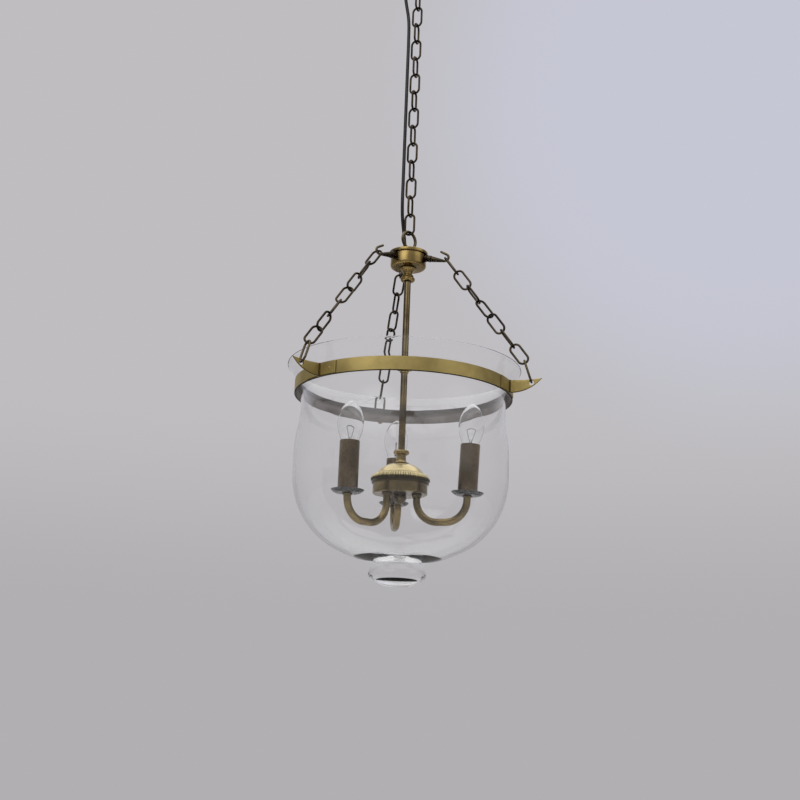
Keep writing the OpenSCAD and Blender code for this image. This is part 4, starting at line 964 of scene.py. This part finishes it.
def ear_mesh():
    """A sheet folded into a double horn, its ends bent round onto the band.

    With the mesh come the numbers of the faces that get painted shade: on the lower edge, and in the two
    bends.
    """
    tab = [polar(ear_out, a, 0) for a in range(-ear_tab, 1 - ear_mouth)]
    corner = Vector((ear_out + ear_bend, -ear_t - ear_bend, 0))
    bend = [corner + Vector((x, y, 0)) for x, y in arc((0, 0), ear_bend, 180, 90, bend_steps)[1:]]
    horn = []
    for i in range(1, horn_steps + 1):
        x = ear_out + ear_bend + (ear_tip_r - ear_out - ear_bend) * i / horn_steps
        horn.append(Vector((x, -ear_t * (1 - 0.35 * (i / horn_steps) ** 3), 0)))
    section = tab + bend + horn
    mirrored = [Vector((p.x, -p.y, 0)) for p in section[::-1]]
    inner = [polar(ear_in, a, 0) for a in range(ear_tab, -ear_tab - 1, -1)]
    ring = section + mirrored + inner
    shares = (0, edge_shade_share, 0.2, 0.4, 0.6, 0.8, 1)
    points, faces = [], []
    for share in shares:
        for p in ring:
            r = p.length if p.length > ear_out + 0.01 else ear_out
            low = horn_low(r)
            points.append((p.x, p.y, low + max(0.4, horn_high(r) - low) * share))
    count, rows = len(ring), len(shares)
    for j in range(rows - 1):
        for k in range(count):
            n = (k + 1) % count
            faces.append([j * count + k, j * count + n, (j + 1) * count + n, (j + 1) * count + k])
    # Lids: the two tabs, the horn's two sides, and the strip between the tabs
    out, fold = 2 * len(section), len(tab) - 1
    for base in (0, (rows - 1) * count):
        caps = [[k, k + 1, out + 2 * ear_tab - k - 1, out + 2 * ear_tab - k] for k in range(fold)]
        caps += [[out - 1 - k, out - 2 - k, out + k + 1, out + k] for k in range(fold)]
        caps += [[k, k + 1, out - 2 - k, out - 1 - k] for k in range(fold, len(section) - 1)]
        caps.append([fold, out - 1 - fold] + list(range(out + fold, out + 2 * ear_tab - fold + 1)))
        faces += [[base + v for v in cap] for cap in caps]
    # Faces in the two bends, which get painted shade
    shaded_bends = []
    for row in range(1, rows - 1):
        for k in range(fold + 1, fold + bend_steps):
            shaded_bends += [row * count + k, row * count + out - 2 - k]
    return (points, faces), range(out), shaded_bends


def make_ear(side):
    made, shaded_lower_edge, shaded_bends = ear_mesh()
    ear = piece("horn_" + side, made, olive, None, sharp=30)
    ear.data.materials.append(edge_shade_brass)
    ear.data.materials.append(bend_shade_brass)
    # Painted shade along the lower edge and in the two bends.
    for index, chosen in ((1, shaded_lower_edge), (2, shaded_bends)):
        for k in chosen:
            ear.data.polygons[k].material_index = index
    hole_r, through = ear_hole_d / 2, 8
    hole = revolved([(0, -through), (hole_r, -through), (hole_r, through), (0, through)], 48)
    hole_place = shift(ear_hole_r, 0, ear_hole_z) @ turn_about("X", 90)
    cutter = piece("cutter", moved(hole, hole_place), olive, None)
    cut = ear.modifiers.new("hole", "BOOLEAN")
    cut.object, cut.operation, cut.solver = cutter, "DIFFERENCE", "EXACT"
    bevel = ear.modifiers.new("edges", "BEVEL")
    bevel.width, bevel.segments = 0.25 * MM, 2
    bevel.limit_method, bevel.angle_limit = "ANGLE", math.radians(50)
    evaluated = ear.evaluated_get(bpy.context.evaluated_depsgraph_get())
    finished = bpy.data.meshes.new_from_object(evaluated)
    ear.modifiers.clear()
    ear.data = finished
    ear.data.transform(turn_about("Z", ear_turns[side]))
    ear.data.shade_smooth()
    ear.data.set_sharp_from_angle(angle=math.radians(35))
    bpy.data.objects.remove(cutter)
    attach(ear, "bowl")
    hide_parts("ear_" + side)


make_band()
for side in SIDES:
    make_ear(side)

# Canopy: a spun bell with a rolled lip
canopy_r, canopy_h, canopy_wall, canopy_lip, canopy_flat, canopy_bore = 57, 40, 1.4, 6, 15, 5.05


def canopy_curve(inset):
    line = []
    for i in range(25):
        t = math.radians(90 * i / 24)
        r = canopy_flat + (canopy_r - canopy_flat) * math.cos(t) - inset * math.cos(t)
        line.append((r, -canopy_lip - (canopy_h - canopy_lip) * math.sin(t) ** 1.4 + inset * math.sin(t)))
    return line


def make_canopy():
    outer = [(canopy_r, 0)] + canopy_curve(0) + [(canopy_bore, -canopy_h)]
    inner = [(canopy_bore, -canopy_h + canopy_wall)] + canopy_curve(canopy_wall)[::-1]
    inner.append((canopy_r - canopy_wall, 0))
    piece("bell_canopy", revolved(eased(outer + inner, 0.5), 128, closed=True), brass, "canopy_body",
          ["canopy"])


make_canopy()


# CAD pieces whose shape is right as it is
def dress(material, *nodes):
    for name in nodes:
        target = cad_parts[name]
        if not target.material_slots:
            target.data.materials.append(None)
        for slot in target.material_slots:
            slot.link = "OBJECT"
            slot.material = material


dress(steel, "mounting_bar")
dress(ivory, "terminal_block")
dress(rubber, "cord_grip")
dress(brass, "canopy_nipple", "hub_nipple", "tie_rod", "arm_nuts")
dress(lead_cover, "inner_leads")
dress(socket_plastic, *["lamp_socket_" + side for side in SIDES])


# Studio: a pale floor, a soft surround and two large lamps
FLOOR_Z, FLOOR_R = -1750, 4000
FLOOR_DARK, FLOOR_LIGHT, FLOOR_MIRRORED = (190, 190, 192), (196, 196, 198), (140, 138, 136)
LAMP_SIDE = 2

# The surround's zones: a direction, the cosines from it at which the zone starts and is full, its tone as a
# colour or as a strength of white light, and the rays that meet it: "all", "unseen" for all but the eye's, or
# "outside" for those of them that are not on their way through glass.
WALL = (177, 175, 178)
ZONES = [
    ((0, 0, 1), (0.04, 0.24), (191, 189, 192), "all"),
    ((0.35, 1, 0.6), (0.945, 0.99), (198, 199, 212), "all"),
    ((-1, 0, 0), (0.35, 0.9), (118, 117, 118), "outside"),
    ((1, 0, 0), (0.45, 0.9), (108, 107, 108), "outside"),
    ((0, -1, 0), (-0.1, 0.6), (170, 169, 170), "unseen"),
    ((0, 0, 1), (0.45, 0.88), 1.25, "unseen"),
    ((-0.4, -0.7, 0.6), (0.87, 0.98), 2.1, "outside"),
    ((0.82, -0.42, 0.42), (0.9, 0.98), 1.0, "outside"),
    ((0, 0.6, 0.8), (0.86, 0.97), 1.2, "outside"),
]


def make_floor():
    """Pale to the eye, to the lamps and through glass, and darker where a surface mirrors it."""
    made = revolved([(0, FLOOR_Z), (FLOOR_R, FLOOR_Z)], 64)
    material, tree = blank_material("floor")
    tone = patched(tree, colour(FLOOR_DARK), colour(FLOOR_LIGHT), noise(tree, 2, 2))
    rays = shader_node(tree, "LightPath").outputs
    mirrored = calculated(tree, "SUBTRACT", rays["Is Glossy Ray"], rays["Is Transmission Ray"])
    tone = mixed_colour(tree, mirrored, tone, colour(FLOOR_MIRRORED))
    show(tree, shader_node(tree, "BsdfDiffuse", {"Color": tone}).outputs["BSDF"])
    piece("floor", made, material, None)


def make_surround():
    """A pale wall to the eye. Surfaces face a room with darker sides, a bright ceiling and soft windows."""
    world = bpy.data.worlds.new("surround")
    world.use_nodes = True
    bpy.context.scene.world = world
    tree = world.node_tree
    place = shader_node(tree, "TexCoord")
    rays = shader_node(tree, "LightPath").outputs
    unseen = calculated(tree, "SUBTRACT", 1, rays["Is Camera Ray"])
    not_in_glass = calculated(tree, "SUBTRACT", 1, rays["Is Transmission Ray"])
    allowed = {"unseen": unseen, "outside": calculated(tree, "MULTIPLY", unseen, not_in_glass)}
    shown = colour(WALL)
    for direction, (start, full), tone, which in ZONES:
        values = {0: place.outputs["Generated"], 1: Vector(direction).normalized()}
        toward = shader_node(tree, "VectorMath", values, operation="DOT_PRODUCT")
        share = ranged(tree, toward.outputs["Value"], start, full, way="SMOOTHSTEP")
        if which in allowed:
            share = calculated(tree, "MULTIPLY", share, allowed[which])
        tone = colour(tone) if isinstance(tone, tuple) else [tone] * 3 + [1]
        shown = mixed_colour(tree, share, shown, tone)
    tree.links.new(shown, tree.nodes["Background"].inputs["Color"])


def make_lamp(name, where, watts, tint):
    """A square lamp that faces the middle of the jar's rim and isn't seen or mirrored itself."""
    data = bpy.data.lights.new(name, "AREA")
    data.shape, data.size = "SQUARE", LAMP_SIDE
    data.energy = watts
    data.color = tint
    lamp = bpy.data.objects.new(name, data)
    bpy.context.scene.collection.objects.link(lamp)
    lamp.location = where
    aim = Vector((0, 0, rim_z * MM)) - Vector(where)
    lamp.rotation_mode = "QUATERNION"
    lamp.rotation_quaternion = aim.to_track_quat("-Z", "Y")
    lamp.visible_camera = lamp.visible_glossy = lamp.visible_transmission = False


make_floor()
make_surround()
make_lamp("key", (-2.4, -1.4, 0.6), 44, (1, 0.99, 0.97))
make_lamp("fill", (2.2, -1.4, -0.2), 15, (0.97, 0.98, 1))

bpy.context.scene.view_settings.view_transform = "Standard"
